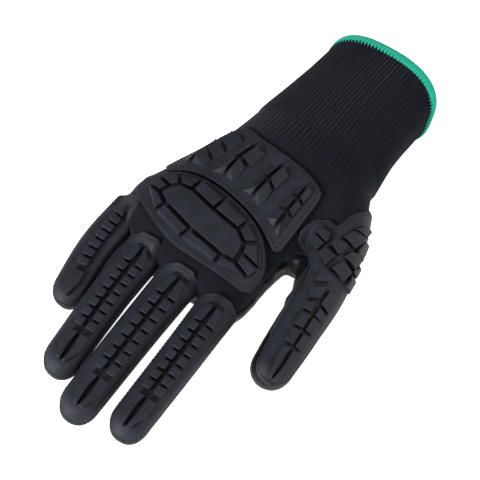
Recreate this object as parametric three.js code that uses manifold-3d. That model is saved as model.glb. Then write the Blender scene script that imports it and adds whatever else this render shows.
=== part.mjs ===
// Impact work glove, right hand, size 9, lying palm down as if a hand filled it.
// Millimetres, +Z up. The fingers point to -Y, the thumb is on the +X side, the palm lies on Z = 0.
import * as THREE from 'three';
import { mergeVertices } from 'three/addons/utils/BufferGeometryUtils.js';
import Module from 'manifold-3d';

const wasm = await Module();
wasm.setup();

// Thicknesses
const KNIT_WALL = 1.6;
const COAT_WALL = 1.0;
const SHEET = 1.7; // rubber between the blocks of a guard
const BLOCK = 2.7; // height of a block above its sheet
const FIT = 0.3; // clearance between pieces that lie on each other
const REST = FIT + COAT_WALL; // the knit's underside above the floor

// Knitted cuff and its green edge
const RIB = 0.8; // height of a rib
const RIBS = 30;
const RIM_Y = 121;
const BINDING = { along: 3.4, over: 1.6, under: 1.2, end: 1.6 };

// Facets round the hand and round a finger, outside and inside
const OUTSIDE = { hand: 20, finger: 10, cuff: RIBS * 2 };
const INSIDE = { hand: 20, finger: 8, cuff: 20 };
const UPPER_POWER = 2.5; // superellipse of the back of the hand
const LOWER_POWER = 3.2; // flatter palm

// Sections of hand and cuff. left, right, low and high bound the knit; back moves the little finger's side
// towards the wrist; lean tips a section's top away from the hand; rib is the share of the full rib height.
const SECTIONS = [
  { y: -37, left: -52, right: 17, low: 8, high: 20, back: 12, lean: 0, rib: 0 },
  { y: -34, left: -60, right: 23, low: 2, high: 25, back: 18, lean: 0, rib: 0 },
  { y: -26, left: -63, right: 25, low: -1, high: 28.5, back: 16, lean: 0, rib: 0 },
  { y: -10, left: -63.5, right: 25.5, low: -1, high: 31.5, back: 5, lean: 0, rib: 0 },
  { y: 8, left: -58.5, right: 28, low: -1, high: 33, back: 0, lean: 0, rib: 0 },
  { y: 26, left: -50, right: 33, low: -1, high: 34.5, back: 0, lean: 0, rib: 0 },
  { y: 44, left: -43, right: 37.5, low: -0.5, high: 36.5, back: 0, lean: 0, rib: 0 },
  { y: 58, left: -39.5, right: 39.5, low: 1.2, high: 38.5, back: 0, lean: 0.5, rib: 0 },
];
const CUFF_SECTIONS = [
  { y: 68, left: -37.6, right: 38.8, low: 1.1, high: 40, back: 0, lean: 1.7, rib: 1 },
  { y: 90, left: -33.5, right: 37, low: 1.1, high: 43, back: 0, lean: 3, rib: 1 },
  { y: 115.5, left: -28, right: 38, low: 1.8, high: 49, back: 0, lean: 5.3, rib: 1 },
  { y: 117, left: -27.9, right: 38.4, low: 1.9, high: 49.5, back: 0, lean: 5.5, rib: 0 },
  { y: RIM_Y, left: -27.5, right: 39.5, low: 2.1, high: 51, back: 0, lean: 6, rib: 0 },
];

// Fingers: centre line from inside the hand to the centre of the round tip, half width and half height at
// even shares of it, and the turn of the guard about the finger, in degrees towards the thumb.
const FINGERS = {
  index: {
    line: [[14, -8, 16], [16, -66, 12.5], [16.8, -107.5, 9.3]],
    half: [[9.6, 9.8], [8.5, 8.6], [8.1, 7.9]],
    turn: 3,
  },
  middle: {
    line: [[-10, -8, 17], [-9.6, -70, 13], [-8.6, -114.5, 9.3]],
    half: [[9.8, 10], [8.7, 8.8], [8.2, 7.9]],
    turn: 0,
  },
  ring: {
    line: [[-35, -8, 16], [-33.4, -62, 12.5], [-30.2, -102, 9.3]],
    half: [[9.6, 9.8], [8.5, 8.6], [8, 7.8]],
    turn: -3,
  },
  little: {
    line: [[-55, 4, 14], [-57, -42, 11.5], [-52.4, -71.5, 9]],
    half: [[8.8, 9], [7.9, 8], [7.3, 7.3]],
    turn: -20,
  },
  thumb: {
    line: [[29.5, 51, 20], [40.5, 28, 18], [47.8, 3, 15], [51.5, -24, 13], [53.5, -44, 11.5]],
    half: [[14.5, 15], [13.8, 14], [12.3, 12.5], [10.8, 10.8], [10, 9.8]],
  },
};

const FINGER_STATIONS = { straight: [0, 0.5, 1], bent: [0, 0.25, 0.5, 0.75, 1] };
const NOSE_ANGLES = [38, 68]; // rings of the rounded tip, in degrees
const FLOOR = { side: 100, front: -150, back: 54, depth: 40 }; // flattens palm and fingers, not the cuff
const FRONT_ROWS = -30; // sections in front of this grow forwards too

const radians = THREE.MathUtils.degToRad;

// A closed superellipse curve's two coordinates at angle t
function superellipse(t) {
  const power = 2 / (Math.sin(t) < 0 ? LOWER_POWER : UPPER_POWER);
  const curve = (value) => Math.sign(value) * Math.abs(value) ** power;
  return { across: curve(Math.cos(t)), up: curve(Math.sin(t)) };
}

// A point on a hand section at angle t, grown by offset
function sectionPoint(row, t, offset) {
  const { across, up } = superellipse(t);
  const halfWidth = (row.right - row.left) / 2 + offset;
  const bareHeight = (row.high - row.low) / 2;
  const halfHeight = bareHeight + offset;
  const towardsWrist = row.back * ((1 - across) / 2) ** 6 + (row.lean * up * halfHeight) / bareHeight;
  return new THREE.Vector3(
    (row.left + row.right) / 2 + halfWidth * across,
    row.y + towardsWrist,
    (row.low + row.high) / 2 + halfHeight * up,
  );
}

function sectionRing(row, sides, offset) {
  return Array.from({ length: sides }, (_, i) => {
    const rib = sides === OUTSIDE.cuff && i % 2 === 0 ? row.rib * RIB : 0;
    return sectionPoint(row, (i / sides) * 2 * Math.PI, offset + rib);
  });
}

// Triangles that point out of the body, whichever way round they were listed
function facingOut(positions, triangles) {
  const corner = (index) => positions[index];
  let volume = 0;
  for (const [a, b, c] of triangles) {
    volume += corner(a).dot(new THREE.Vector3().crossVectors(corner(b), corner(c)));
  }
  return volume > 0 ? triangles : triangles.map(([a, b, c]) => [a, c, b]);
}

function solid(positions, triangles) {
  const vertProperties = new Float32Array(positions.flatMap((point) => point.toArray()));
  const triVerts = new Uint32Array(facingOut(positions, triangles).flat());
  return new wasm.Manifold(new wasm.Mesh({ numProp: 3, vertProperties, triVerts }));
}

// A body through rings of points. Of two neighbours one may have a whole multiple of the other's points.
function loft(rings, endPoint = null) {
  const positions = rings.flat();
  const triangles = [];
  let start = 0;
  for (let r = 0; r + 1 < rings.length; r++) {
    const next = start + rings[r].length;
    const finer = rings[r + 1].length >= rings[r].length;
    const [few, many] = finer ? [rings[r], rings[r + 1]] : [rings[r + 1], rings[r]];
    const [fewStart, manyStart] = finer ? [start, next] : [next, start];
    const ratio = many.length / few.length;
    const add = (a, b, c) => triangles.push(finer ? [a, b, c] : [a, c, b]);
    for (let i = 0; i < few.length; i++) {
      const a = fewStart + i;
      const b = fewStart + ((i + 1) % few.length);
      const far = (k) => manyStart + ((i * ratio + k) % many.length);
      for (let k = 0; k < ratio; k++) add(a, far(k + 1), far(k));
      add(a, b, far(ratio));
    }
    start = next;
  }
  const middle = (ring) => ring.reduce((sum, p) => sum.add(p), new THREE.Vector3()).divideScalar(ring.length);
  // A flat quad is closed by two triangles, any other ring by a fan
  const cap = (ring, first, centre, flip) => {
    if (ring.length === 4 && !endPoint) {
      const [a, b, c, d] = [0, 1, 2, 3].map((k) => first + k);
      triangles.push(...(flip ? [[a, c, b], [a, d, c]] : [[a, b, c], [a, c, d]]));
      return;
    }
    const hub = positions.push(centre) - 1;
    ring.forEach((_, i) => {
      const edge = [first + i, first + ((i + 1) % ring.length)];
      triangles.push([hub, ...(flip ? edge.reverse() : edge)]);
    });
  };
  const last = rings.at(-1);
  cap(rings[0], 0, middle(rings[0]), true);
  cap(last, start, endPoint ?? middle(last), false);
  return solid(positions, triangles);
}

// A three.js geometry as a solid
function solidFrom(geometry) {
  const bare = geometry.clone();
  bare.deleteAttribute('normal');
  bare.deleteAttribute('uv');
  const merged = mergeVertices(bare, 1e-4);
  const place = merged.getAttribute('position');
  const positions = Array.from({ length: place.count }, (_, i) => new THREE.Vector3().fromBufferAttribute(place, i));
  const index = Array.from(merged.index.array);
  const triangles = Array.from({ length: index.length / 3 }, (_, i) => index.slice(3 * i, 3 * i + 3));
  return solid(positions, triangles);
}

// An upright column over an outline of [x, y] corners
function column(outline, low, high) {
  const shape = new THREE.Shape(outline.map(([x, y]) => new THREE.Vector2(x, y)));
  const geometry = new THREE.ExtrudeGeometry(shape, { depth: high - low, bevelEnabled: false });
  return solidFrom(geometry.translate(0, 0, low));
}

const join = (solids) => solids.reduce((whole, piece) => whole.add(piece));

// Place along a finger: its centre, its own axes and its half sizes. Past the line's end is the round tip.
function fingerFrame(finger, share) {
  finger.curve ??= new THREE.CatmullRomCurve3(finger.line.map((point) => new THREE.Vector3(...point)));
  const clamped = THREE.MathUtils.clamp(share, 0, 1);
  const along = finger.curve.getTangentAt(clamped);
  const side = new THREE.Vector3().crossVectors(along, new THREE.Vector3(0, 0, 1)).normalize().negate();
  const steps = finger.half.length - 1;
  const step = Math.min(Math.floor(clamped * steps), steps - 1);
  const blend = clamped * steps - step;
  const size = (k) => THREE.MathUtils.lerp(finger.half[step][k], finger.half[step + 1][k], blend);
  const up = new THREE.Vector3().crossVectors(along, side).normalize();
  if (up.z < 0) up.negate();
  return { centre: finger.curve.getPointAt(clamped), along, side, up, wide: size(0), high: size(1) };
}

const fingerLength = (finger) => {
  fingerFrame(finger, 0);
  return finger.curve.getLength();
};

// A point on a finger: s mm along it, at an angle from its back towards +X, grown by offset
function fingerPoint(finger, s, angle, offset) {
  const length = fingerLength(finger);
  const frame = fingerFrame(finger, s / length);
  const nose = Math.max(0, s - length) / frame.wide;
  const wide = (frame.wide + offset) * Math.cos(nose) * Math.sin(angle);
  const high = (frame.high + offset) * Math.cos(nose) * Math.cos(angle);
  return frame.centre
    .clone()
    .addScaledVector(frame.along, (frame.wide + offset) * Math.sin(nose))
    .addScaledVector(frame.side, wide)
    .addScaledVector(frame.up, high);
}

function fingerSolid(finger, offset, sides) {
  const length = fingerLength(finger);
  const stations = finger.line.length > 3 ? FINGER_STATIONS.bent : FINGER_STATIONS.straight;
  const wide = fingerFrame(finger, 1).wide;
  const places = [...stations.map((share) => share * length), ...NOSE_ANGLES.map((a) => length + radians(a) * wide)];
  const turns = Array.from({ length: sides }, (_, i) => ((i + 0.5) / sides) * 2 * Math.PI);
  const rings = places.map((s) => turns.map((turn) => fingerPoint(finger, s, turn, offset)));
  return loft(rings, fingerPoint(finger, length + radians(90) * wide, 0, offset));
}

// The hand's outside, grown by offset, with the underside flattened where it rests
function handSolid(offset, cuffSections = [], sides = OUTSIDE) {
  const rows = SECTIONS.map((row) => ({ ...row, y: row.y - (row.y < FRONT_ROWS ? offset : 0) }));
  const rings = rows.map((row) => sectionRing(row, sides.hand, offset));
  cuffSections.forEach((row) => rings.push(sectionRing(row, row.rib ? sides.cuff : sides.hand, offset)));
  const fingers = Object.values(FINGERS).map((finger) => fingerSolid(finger, offset, sides.finger));
  const { side, front, back, depth } = FLOOR;
  const floor = column([[-side, front], [side, front], [side, back], [-side, back]], -depth, REST - offset);
  return join([loft(rings), ...fingers]).subtract(floor);
}

// Guards: outlines and grooves on the back of the hand, as [x, y] seen from above
const KNUCKLE_OUTLINE = [
  [-58.5, -10], [-57, -2], [-50.5, 5], [-42, 9.5], [-31, 11.5], [-20, 11.7], [-9, 10.5], [2, 7.6], [11, 3.8],
  [17.5, -0.5], [23.5, -9], [24.4, -19], [18, -26], [5, -27.6], [-11, -27.8], [-23, -26], [-34, -22.5],
  [-44, -18.5], [-52, -14.5],
];
// Each row is a groove across the ring of blocks; the inner ends are the outline of the centre plate
const KNUCKLE_GROOVES = [
  { outer: [-53.4, -8.5], inner: [-46, -8.8] },
  { outer: [-51, -1.7], inner: [-43.3, -3.1] },
  { outer: [-42.1, 4.3], inner: [-38.5, 0.3] },
  { outer: [-30.3, 7.2], inner: [-30.4, 1.2] },
  { outer: [-14.1, 5.4], inner: [-15.4, -0.9] },
  { outer: [2.1, 2.8], inner: [1.4, -3.4] },
  { outer: [12.4, -2.8], inner: [7.7, -7] },
  { outer: [19.6, -11.5], inner: [10.2, -11.6] },
  { outer: [17.6, -19], inner: [9.6, -17.4] },
  { outer: [1, -22.6], inner: [-3.6, -19.2] },
  { outer: [-20.5, -22], inner: [-19.4, -17.6] },
  { outer: [-38.7, -17.4], inner: [-37.5, -14] },
];
const WRIST_OUTLINE = [
  [-52.5, 8], [-48, 20], [-43, 32], [-37.6, 43], [-32, 47.5], [-19.6, 47], [-2.8, 45.3], [8, 44], [17, 42.5],
  [22.5, 39], [24.2, 21], [23.8, 9.5], [22.4, 2], [18, 2.6], [4.5, 9.7], [-9, 13.6], [-26.5, 14.6], [-44, 11.8],
];
// Columns of tread blocks on the wrist guard, front end first. half is half a column's width and sweep is how
// far the cross grooves run forward at its edges.
const WRIST_COLUMNS = [
  { front: [-40.5, 15], back: [-30.5, 42], half: 6.2, sweep: 3.5, rows: 3 },
  { front: [-24.8, 17.5], back: [-19, 42], half: 7.6, sweep: 3.5, rows: 2 },
  { front: [-5.6, 16.5], back: [0, 41], half: 7.8, sweep: 4.2, rows: 2 },
  { front: [13.6, 8.5], back: [14.8, 38.5], half: 6, sweep: 2.5, rows: 3 },
];
const GROOVE = 1.1; // width of the grooves of the two large guards

// Finger guards: where they start along the finger, the pairs of square blocks and their pitch
const FINGER_GUARDS = {
  index: { start: 24, spread: 76, pairs: 7, pitch: 6.5, reach: 5.4, nail: 16, single: false },
  middle: { start: 24, spread: 76, pairs: 8, pitch: 6.4, reach: 5.6, nail: 17, single: false },
  ring: { start: 22, spread: 76, pairs: 7, pitch: 6.3, reach: 5.4, nail: 16, single: false },
  little: { start: 17, spread: 68, pairs: 6, pitch: 5.2, reach: 3.4, nail: 13, single: true },
};
const FINGER_GROOVE = 1.2;

// Thumb guard: the sheet's two edges along the thumb, in degrees from the thumb's back towards +X
const THUMB_SHEET = [
  { s: 6, left: 48, right: 88 },
  { s: 13, left: 26, right: 95 },
  { s: 18, left: -38, right: 95 },
  { s: 32, left: -54, right: 95 },
  { s: 48, left: -28, right: 92 },
  { s: 73, left: -37, right: 84 },
  { s: 97, left: -34, right: 74 },
  { s: 104, left: -24, right: 60 },
  { s: 109, left: -4, right: 40 },
];
const THUMB_NOTCH = [[9.5, 32], [24, 7], [13, -20]]; // parts the sheet's two lobes, corners [s, degrees]
// Blocks over the thumb's root, as corners [s, degrees]
const THUMB_BLOCKS = [
  [[26.5, -13], [28.5, 2], [33.5, -4], [31, -20]],
  [[30, -33], [31, -24], [36.5, -8], [38.5, -14], [34.5, -30]],
  [[38, -14], [36.5, -5], [40.5, 10], [45, 7], [43.5, -9]],
  [[33.5, 4], [30, 13], [33, 28], [38, 18]],
  [[27, 17], [22.5, 29], [26.5, 44], [31, 33]],
  [[20.5, 34], [15.5, 50], [19, 66], [24.5, 50]],
  [[14, 54], [11, 68], [14, 84], [18, 70]],
  [[38.5, 33], [33.5, 46], [37, 61], [42.5, 50]],
  [[32, 52], [27, 66], [31, 82], [36, 66]],
  [[46, 16], [40.5, 27], [44, 45], [49.5, 37]],
  [[44.5, 50], [39, 63], [42.5, 80], [48, 66]],
  [[52, 42], [47.5, 55], [50, 72], [56, 60]],
  [[53, -6], [47, 0], [49, 17], [54.5, 15]],
  [[63, -1], [57.5, 1], [57, 18], [64, 16]],
  [[60, 27], [56, 30], [58, 46], [66, 44], [67, 35]],
  [[71, 1], [67, 3], [66.5, 17], [72, 16]],
];
const THUMB_SLOPE = { foot: 0.9, top: 0.6 }; // foot and top of a block outside and inside its corners
const THUMB_RADIUS = 17; // mean radius of the guard, which turns its degrees into millimetres
const THUMB_PAIRS = { start: 73.5, pairs: 2, pitch: 8, centre: 19, reach: 19, nailEnd: 107 };

// A point on the back of the hand over [x, y], lifted off it by offset
function backPoint(x, y, offset) {
  const height = (px, py) => {
    const rows = [...SECTIONS, ...CUFF_SECTIONS];
    const k = Math.max(0, Math.min(rows.length - 2, rows.findIndex((row) => row.y > py) - 1));
    const blend = THREE.MathUtils.clamp((py - rows[k].y) / (rows[k + 1].y - rows[k].y), 0, 1);
    const at = (key) => THREE.MathUtils.lerp(rows[k][key], rows[k + 1][key], blend);
    const halfWidth = (at('right') - at('left')) / 2;
    const across = Math.min(0.995, Math.abs((px - (at('left') + at('right')) / 2) / halfWidth));
    const halfHeight = (at('high') - at('low')) / 2;
    return (at('high') + at('low')) / 2 + halfHeight * (1 - across ** UPPER_POWER) ** (1 / UPPER_POWER);
  };
  const step = 0.5;
  const slopeX = (height(x + step, y) - height(x - step, y)) / (2 * step);
  const slopeY = (height(x, y + step) - height(x, y - step)) / (2 * step);
  const normal = new THREE.Vector3(-slopeX, -slopeY, 1).normalize();
  return new THREE.Vector3(x, y, height(x, y)).addScaledVector(normal, offset);
}

// A convex outline moved inwards, each edge by its own distance
function inset(corners, distances) {
  const points = corners.map(([x, y]) => new THREE.Vector2(x, y));
  const turn = Math.sign(THREE.ShapeUtils.area(points));
  const edges = points.map((point, i) => {
    const along = points[(i + 1) % points.length].clone().sub(point).normalize();
    const inwards = new THREE.Vector2(-along.y, along.x).multiplyScalar(turn);
    const distance = Array.isArray(distances) ? distances[i] : distances;
    return { from: point.clone().addScaledVector(inwards, distance), along };
  });
  return edges.map((edge, i) => {
    const before = edges[(i + edges.length - 1) % edges.length];
    const cross = before.along.x * edge.along.y - before.along.y * edge.along.x;
    const gap = edge.from.clone().sub(before.from);
    const reach = (gap.x * edge.along.y - gap.y * edge.along.x) / cross;
    return before.from.clone().addScaledVector(before.along, reach).toArray();
  });
}

// A block with sloping sides on a surface, from its foot's corners and its top's
function block(surface, foot, top, low, high) {
  const ring = (corners, lift) => corners.map(([u, v]) => surface(u, v, lift));
  const centre = top.reduce(([u, v], [pu, pv]) => [u + pu / top.length, v + pv / top.length], [0, 0]);
  return loft([ring(foot, low), ring(top, high)], foot.length > 4 ? surface(...centre, high) : null);
}

// A sheet on a surface between two edges, row by row
function sheet(surface, rows, columns, low, high) {
  const sides = [low, high].map((lift) =>
    rows.map(({ s, left, right }) =>
      Array.from({ length: columns + 1 }, (_, i) => surface(s, THREE.MathUtils.lerp(left, right, i / columns), lift)),
    ),
  );
  const rings = rows.map((_, r) => [...sides[0][r], ...sides[1][r].reverse()]);
  return loft(rings);
}

const LIFT = FIT + SHEET; // top of a guard's sheet above the knit
const SUNK = -1.2; // guards start at this depth, and the hand's own form cuts their undersides
const CLEARANCE = 2.5; // degrees between a guard's edge and the coating
const END_CLEARANCE = 0.6; // the same at a guard's two ends, in millimetres
const CUT = { below: 3.5, above: 5 }; // reach of a cut below and above the knit's surface
const FINGER_COLUMNS = 4; // facets of a guard's sheet across a finger
const THUMB_COLUMNS = 5;

// Slopes of a block's sides, as insets of its top: beside the groove, back, outer side and front
const SLOPES = { wedge: [0.3, 0.35, 0.9, 3.5], square: [0.3, 0.35, 0.9, 0.35], plain: 0.5 };

function fingerGuardRows(finger, plan) {
  const length = fingerLength(finger);
  const row = (s, share) => ({ s, left: -plan.spread * share, right: plan.spread * share });
  const middle = (plan.start + length) / 2;
  return [
    row(plan.start, 0.5),
    row(plan.start + 3.5, 1),
    row(middle, 1),
    row(length - 2, 1),
    row(length + 4, 0.85),
    row(length + 9, 0.35),
  ];
}

function fingerGuard(finger, plan, hand) {
  const length = fingerLength(finger);
  const turn = radians(finger.turn);
  const byAngle = (s, degrees, lift) => fingerPoint(finger, s, turn + radians(degrees), lift);
  const byWidth = (s, across, lift) => {
    const radius = fingerFrame(finger, s / length).wide + LIFT;
    return fingerPoint(finger, s, turn + across / radius, lift);
  };
  const pieces = [sheet(byAngle, fingerGuardRows(finger, plan), FINGER_COLUMNS, SUNK, LIFT)];
  const put = (corners, slopes, height = BLOCK) => {
    pieces.push(block(byWidth, corners, inset(corners, slopes), SUNK, LIFT + height));
  };
  for (const side of plan.single ? [1] : [-1, 1]) {
    const groove = plan.single ? -plan.reach : (side * FINGER_GROOVE) / 2;
    const outer = side * plan.reach;
    let s = plan.start + 5;
    const wedge = plan.single ? 7 : 10.5;
    put([[s, groove], [s + wedge, groove], [s + wedge, outer], [s, outer * 0.6]], SLOPES.wedge);
    s += wedge + 1;
    for (let pair = 0; pair < plan.pairs; pair++) {
      const end = s + plan.pitch - 1;
      put([[s, groove], [end, groove], [end, outer], [s, outer]], SLOPES.square);
      s += plan.pitch;
    }
    const tip = s + plan.nail;
    const half = s + plan.nail * 0.5;
    const nail = plan.single
      ? [[s, -outer], [half, -outer * 1.1], [tip, -outer * 0.5], [tip, outer * 0.5], [half, outer * 1.1], [s, outer]]
      : [[s, groove], [half, groove + side * 0.5], [tip, groove], [tip, outer * 0.4], [half, outer], [s, outer]];
    put(nail, 0.7);
  }
  return join(pieces).subtract(hand);
}

function thumbGuard(thumb, hand) {
  const perDegree = radians(1) * THUMB_RADIUS;
  const byAngle = (s, degrees, lift) => {
    const onThumb = fingerPoint(thumb, s, radians(degrees), lift);
    const onBack = backPoint(onThumb.x, onThumb.y, lift);
    return onBack.z > onThumb.z ? onBack : onThumb;
  };
  const byWidth = (s, across, lift) => byAngle(s, across / perDegree, lift);
  const inMillimetres = (corners) => corners.map(([s, degrees]) => [s, degrees * perDegree]);
  const notch = inMillimetres(THUMB_NOTCH);
  const notchSolid = block(byWidth, notch, notch, -CUT.below, CUT.above);
  const pieces = [sheet(byAngle, THUMB_SHEET, THUMB_COLUMNS, SUNK, LIFT).subtract(notchSolid)];
  const put = (corners, slopes) => {
    pieces.push(block(byWidth, corners, inset(corners, slopes), SUNK, LIFT + BLOCK));
  };
  for (const corners of THUMB_BLOCKS) put(inset(inMillimetres(corners), -THUMB_SLOPE.foot), THUMB_SLOPE.top);
  const { start, pairs, pitch, centre, reach, nailEnd } = THUMB_PAIRS;
  for (const side of [-1, 1]) {
    const groove = centre * perDegree + (side * FINGER_GROOVE) / 2;
    const outer = (centre + side * reach) * perDegree;
    for (let pair = 0; pair < pairs; pair++) {
      const s = start + pair * pitch;
      const end = s + pitch - 1;
      put([[s, groove], [end, groove], [end, outer], [s, outer]], SLOPES.square);
    }
    const s = start + pairs * pitch;
    const half = (s + nailEnd) / 2;
    const narrow = (centre + side * reach * 0.45) * perDegree;
    put([[s, groove], [half, groove], [nailEnd, groove - side * 0.2], [nailEnd, narrow], [half, outer], [s, outer]], 0.7);
  }
  return join(pieces).subtract(hand);
}

// A sheet over an outline on the back of the hand, before its blocks
const BACK_FROM = 15;
const BACK_TO = 80;
const backSheet = (outline) => handSolid(LIFT).intersect(column(outline, BACK_FROM, BACK_TO));

function knuckleGuard(hand) {
  const pieces = [backSheet(KNUCKLE_OUTLINE)];
  const put = (corners, slopes) => {
    const foot = inset(corners, GROOVE / 2);
    pieces.push(block(backPoint, foot, inset(foot, slopes), SUNK, LIFT + BLOCK));
  };
  put(KNUCKLE_GROOVES.map((groove) => groove.inner), SLOPES.plain);
  KNUCKLE_GROOVES.forEach((groove, i) => {
    const next = KNUCKLE_GROOVES[(i + 1) % KNUCKLE_GROOVES.length];
    put([groove.inner, groove.outer, next.outer, next.inner], [0.3, 1.6, 0.3, 0.4]);
  });
  return join(pieces).subtract(hand);
}

function treadColumn({ front, back, half, sweep, rows }) {
  const start = new THREE.Vector2(...front);
  const along = new THREE.Vector2(...back).sub(start);
  const pitch = along.length() / rows;
  along.normalize();
  const across = new THREE.Vector2(along.y, -along.x);
  const at = (t, w) => start.clone().addScaledVector(along, t).addScaledVector(across, w).toArray();
  const blocks = [];
  for (let row = 0; row < rows; row++) {
    for (const side of [-1, 1]) {
      const first = row === 0;
      const last = row === rows - 1;
      const low = row * pitch + GROOVE / 2;
      const high = (row + 1) * pitch - GROOVE / 2;
      const groove = (side * GROOVE) / 2;
      const corners = [
        at(low, groove),
        at(high, groove),
        at(high - (last ? 0 : sweep), side * half),
        at(low - (first ? 0 : sweep), side * half),
      ];
      const top = inset(corners, [0.2, last ? 2.5 : 0.3, 1.6, first ? 4 : 0.3]);
      blocks.push(block(backPoint, corners, top, SUNK, LIFT + BLOCK));
    }
  }
  return blocks;
}

const wristGuard = (hand) =>
  join([backSheet(WRIST_OUTLINE), ...WRIST_COLUMNS.flatMap(treadColumn)]).subtract(hand);

// The coating's upper edge from fingertips to wrist, as [y, z], and the thumb web that it climbs
const COAT_EDGE = [[-140, 14], [-104, 14], [-36, 19.5], [-24, 16], [47, 16]];
const COAT_CUTTER = { half: 120, bottom: -10 }; // half width and underside of the body that bounds the coating
const WEB_PATCH = { outline: [[25.2, -14], [36, -10], [38, 12], [31, 19], [25.2, 15]], low: 8, high: 26 };

function nitrileCoating(hand) {
  const side = new THREE.Shape([
    ...COAT_EDGE.map(([y, z]) => new THREE.Vector2(y, z)),
    new THREE.Vector2(COAT_EDGE.at(-1)[0], COAT_CUTTER.bottom),
    new THREE.Vector2(COAT_EDGE[0][0], COAT_CUTTER.bottom),
  ]);
  const lower = new THREE.ExtrudeGeometry(side, { depth: 2 * COAT_CUTTER.half, bevelEnabled: false });
  lower.rotateY(Math.PI / 2).rotateX(Math.PI / 2).translate(-COAT_CUTTER.half, 0, 0);
  const region = solidFrom(lower).add(column(WEB_PATCH.outline, WEB_PATCH.low, WEB_PATCH.high));
  let coat = handSolid(REST).intersect(region).subtract(hand);
  const grown = (rows) =>
    rows.map(({ s, left, right }, i) => ({
      s: s + (i === 0 ? -END_CLEARANCE : 0) + (i === rows.length - 1 ? END_CLEARANCE : 0),
      left: left - CLEARANCE,
      right: right + CLEARANCE,
    }));
  const cut = (finger, rows, turn) => {
    const byAngle = (s, degrees, lift) => fingerPoint(finger, s, radians(turn + degrees), lift);
    coat = coat.subtract(sheet(byAngle, grown(rows), FINGER_COLUMNS, -CUT.below, CUT.above));
  };
  for (const [name, plan] of Object.entries(FINGER_GUARDS)) {
    cut(FINGERS[name], fingerGuardRows(FINGERS[name], plan), FINGERS[name].turn);
  }
  cut(FINGERS.thumb, THUMB_SHEET, 0);
  return coat;
}

// The overlocked edge: a channel that grips the knit's rim
function cuffBinding() {
  const rim = CUFF_SECTIONS.at(-1);
  const below = CUFF_SECTIONS.at(-2);
  const row = (along) => {
    const blend = Math.max(0, -along / (rim.y - below.y));
    const at = (key) => THREE.MathUtils.lerp(rim[key], below[key], blend);
    const sides = { left: at('left'), right: at('right'), low: at('low'), high: at('high') };
    return { ...sides, y: rim.y + along, back: 0, lean: at('lean') };
  };
  const { along, over, under, end } = BINDING;
  const inside = -KNIT_WALL - FIT;
  const profile = [
    [FIT + over, -along], [FIT + over, end * 0.5], [FIT, end], [inside, end], [inside - under, end * 0.5],
    [inside - under, -along], [inside, -along], [inside, FIT], [FIT, FIT], [FIT, -along],
  ];
  const rings = profile.map(([offset, shift]) =>
    Array.from({ length: OUTSIDE.hand }, (_, i) => sectionPoint(row(shift), (i / OUTSIDE.hand) * 2 * Math.PI, offset)),
  );
  return closedLoft(rings);
}

// A ring-shaped body through rings of points, the last joined to the first
function closedLoft(rings) {
  const count = rings[0].length;
  const triangles = [];
  rings.forEach((_, r) => {
    for (let i = 0; i < count; i++) {
      const near = r * count;
      const far = ((r + 1) % rings.length) * count;
      const j = (i + 1) % count;
      triangles.push([near + i, near + j, far + j], [near + i, far + j, far + i]);
    }
  });
  return solid(rings.flat(), triangles);
}

// Colours and finishes
const FINISHES = {
  knit: { color: '#17181b', roughness: 0.95, metalness: 0 },
  nitrile: { color: '#0f1012', roughness: 0.35, metalness: 0 },
  rubber: { color: '#26282d', roughness: 0.6, metalness: 0 },
  binding: { color: '#17a882', roughness: 0.85, metalness: 0 },
};

const glove = new THREE.Group();

function addPiece(name, piece, finish) {
  const { vertProperties, triVerts } = piece.getMesh();
  const indexed = new THREE.BufferGeometry();
  indexed.setAttribute('position', new THREE.BufferAttribute(vertProperties, 3));
  indexed.setIndex(new THREE.BufferAttribute(triVerts, 1));
  const geometry = indexed.toNonIndexed();
  geometry.computeVertexNormals();
  const mesh = new THREE.Mesh(geometry, new THREE.MeshStandardMaterial(FINISHES[finish]));
  mesh.name = name;
  glove.add(mesh);
}

const fitted = handSolid(FIT);
const MOUTH_REACH = 9; // the hollow runs this far past the rim, which leans
const mouth = { ...CUFF_SECTIONS.at(-1), y: RIM_Y + MOUTH_REACH };
const hollow = handSolid(-KNIT_WALL, [...CUFF_SECTIONS, mouth], INSIDE);
addPiece('knit_liner', handSolid(0, CUFF_SECTIONS).subtract(hollow), 'knit');
addPiece('nitrile_coating', nitrileCoating(fitted), 'nitrile');
addPiece('cuff_binding', cuffBinding(), 'binding');
addPiece('knuckle_guard', knuckleGuard(fitted), 'rubber');
addPiece('wrist_guard', wristGuard(fitted), 'rubber');
for (const [name, plan] of Object.entries(FINGER_GUARDS)) {
  addPiece(`${name}_guard`, fingerGuard(FINGERS[name], plan, fitted), 'rubber');
}
addPiece('thumb_guard', thumbGuard(FINGERS.thumb, fitted), 'rubber');

// The origin is under the middle of the glove, on the surface that it lies on
const bounds = new THREE.Box3().setFromObject(glove);
const middle = bounds.getCenter(new THREE.Vector3());
glove.position.set(-middle.x, -middle.y, -bounds.min.z);
glove.updateMatrixWorld(true);

export default glove;
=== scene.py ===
"""Dresses an impact work glove: knitted liner, nitrile dip, moulded guards and overlocked cuff edge.

Sizes are millimetres in the hand's own axes: fingers towards -Y, thumb towards +X, palm on Z = 0.
"""

import logging
import math
from dataclasses import dataclass, field
from enum import Enum
from typing import Callable, Iterable, Optional, Sequence

import bmesh
import bpy
from mathutils import Matrix, Vector, noise
from mathutils.bvhtree import BVHTree


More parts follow.
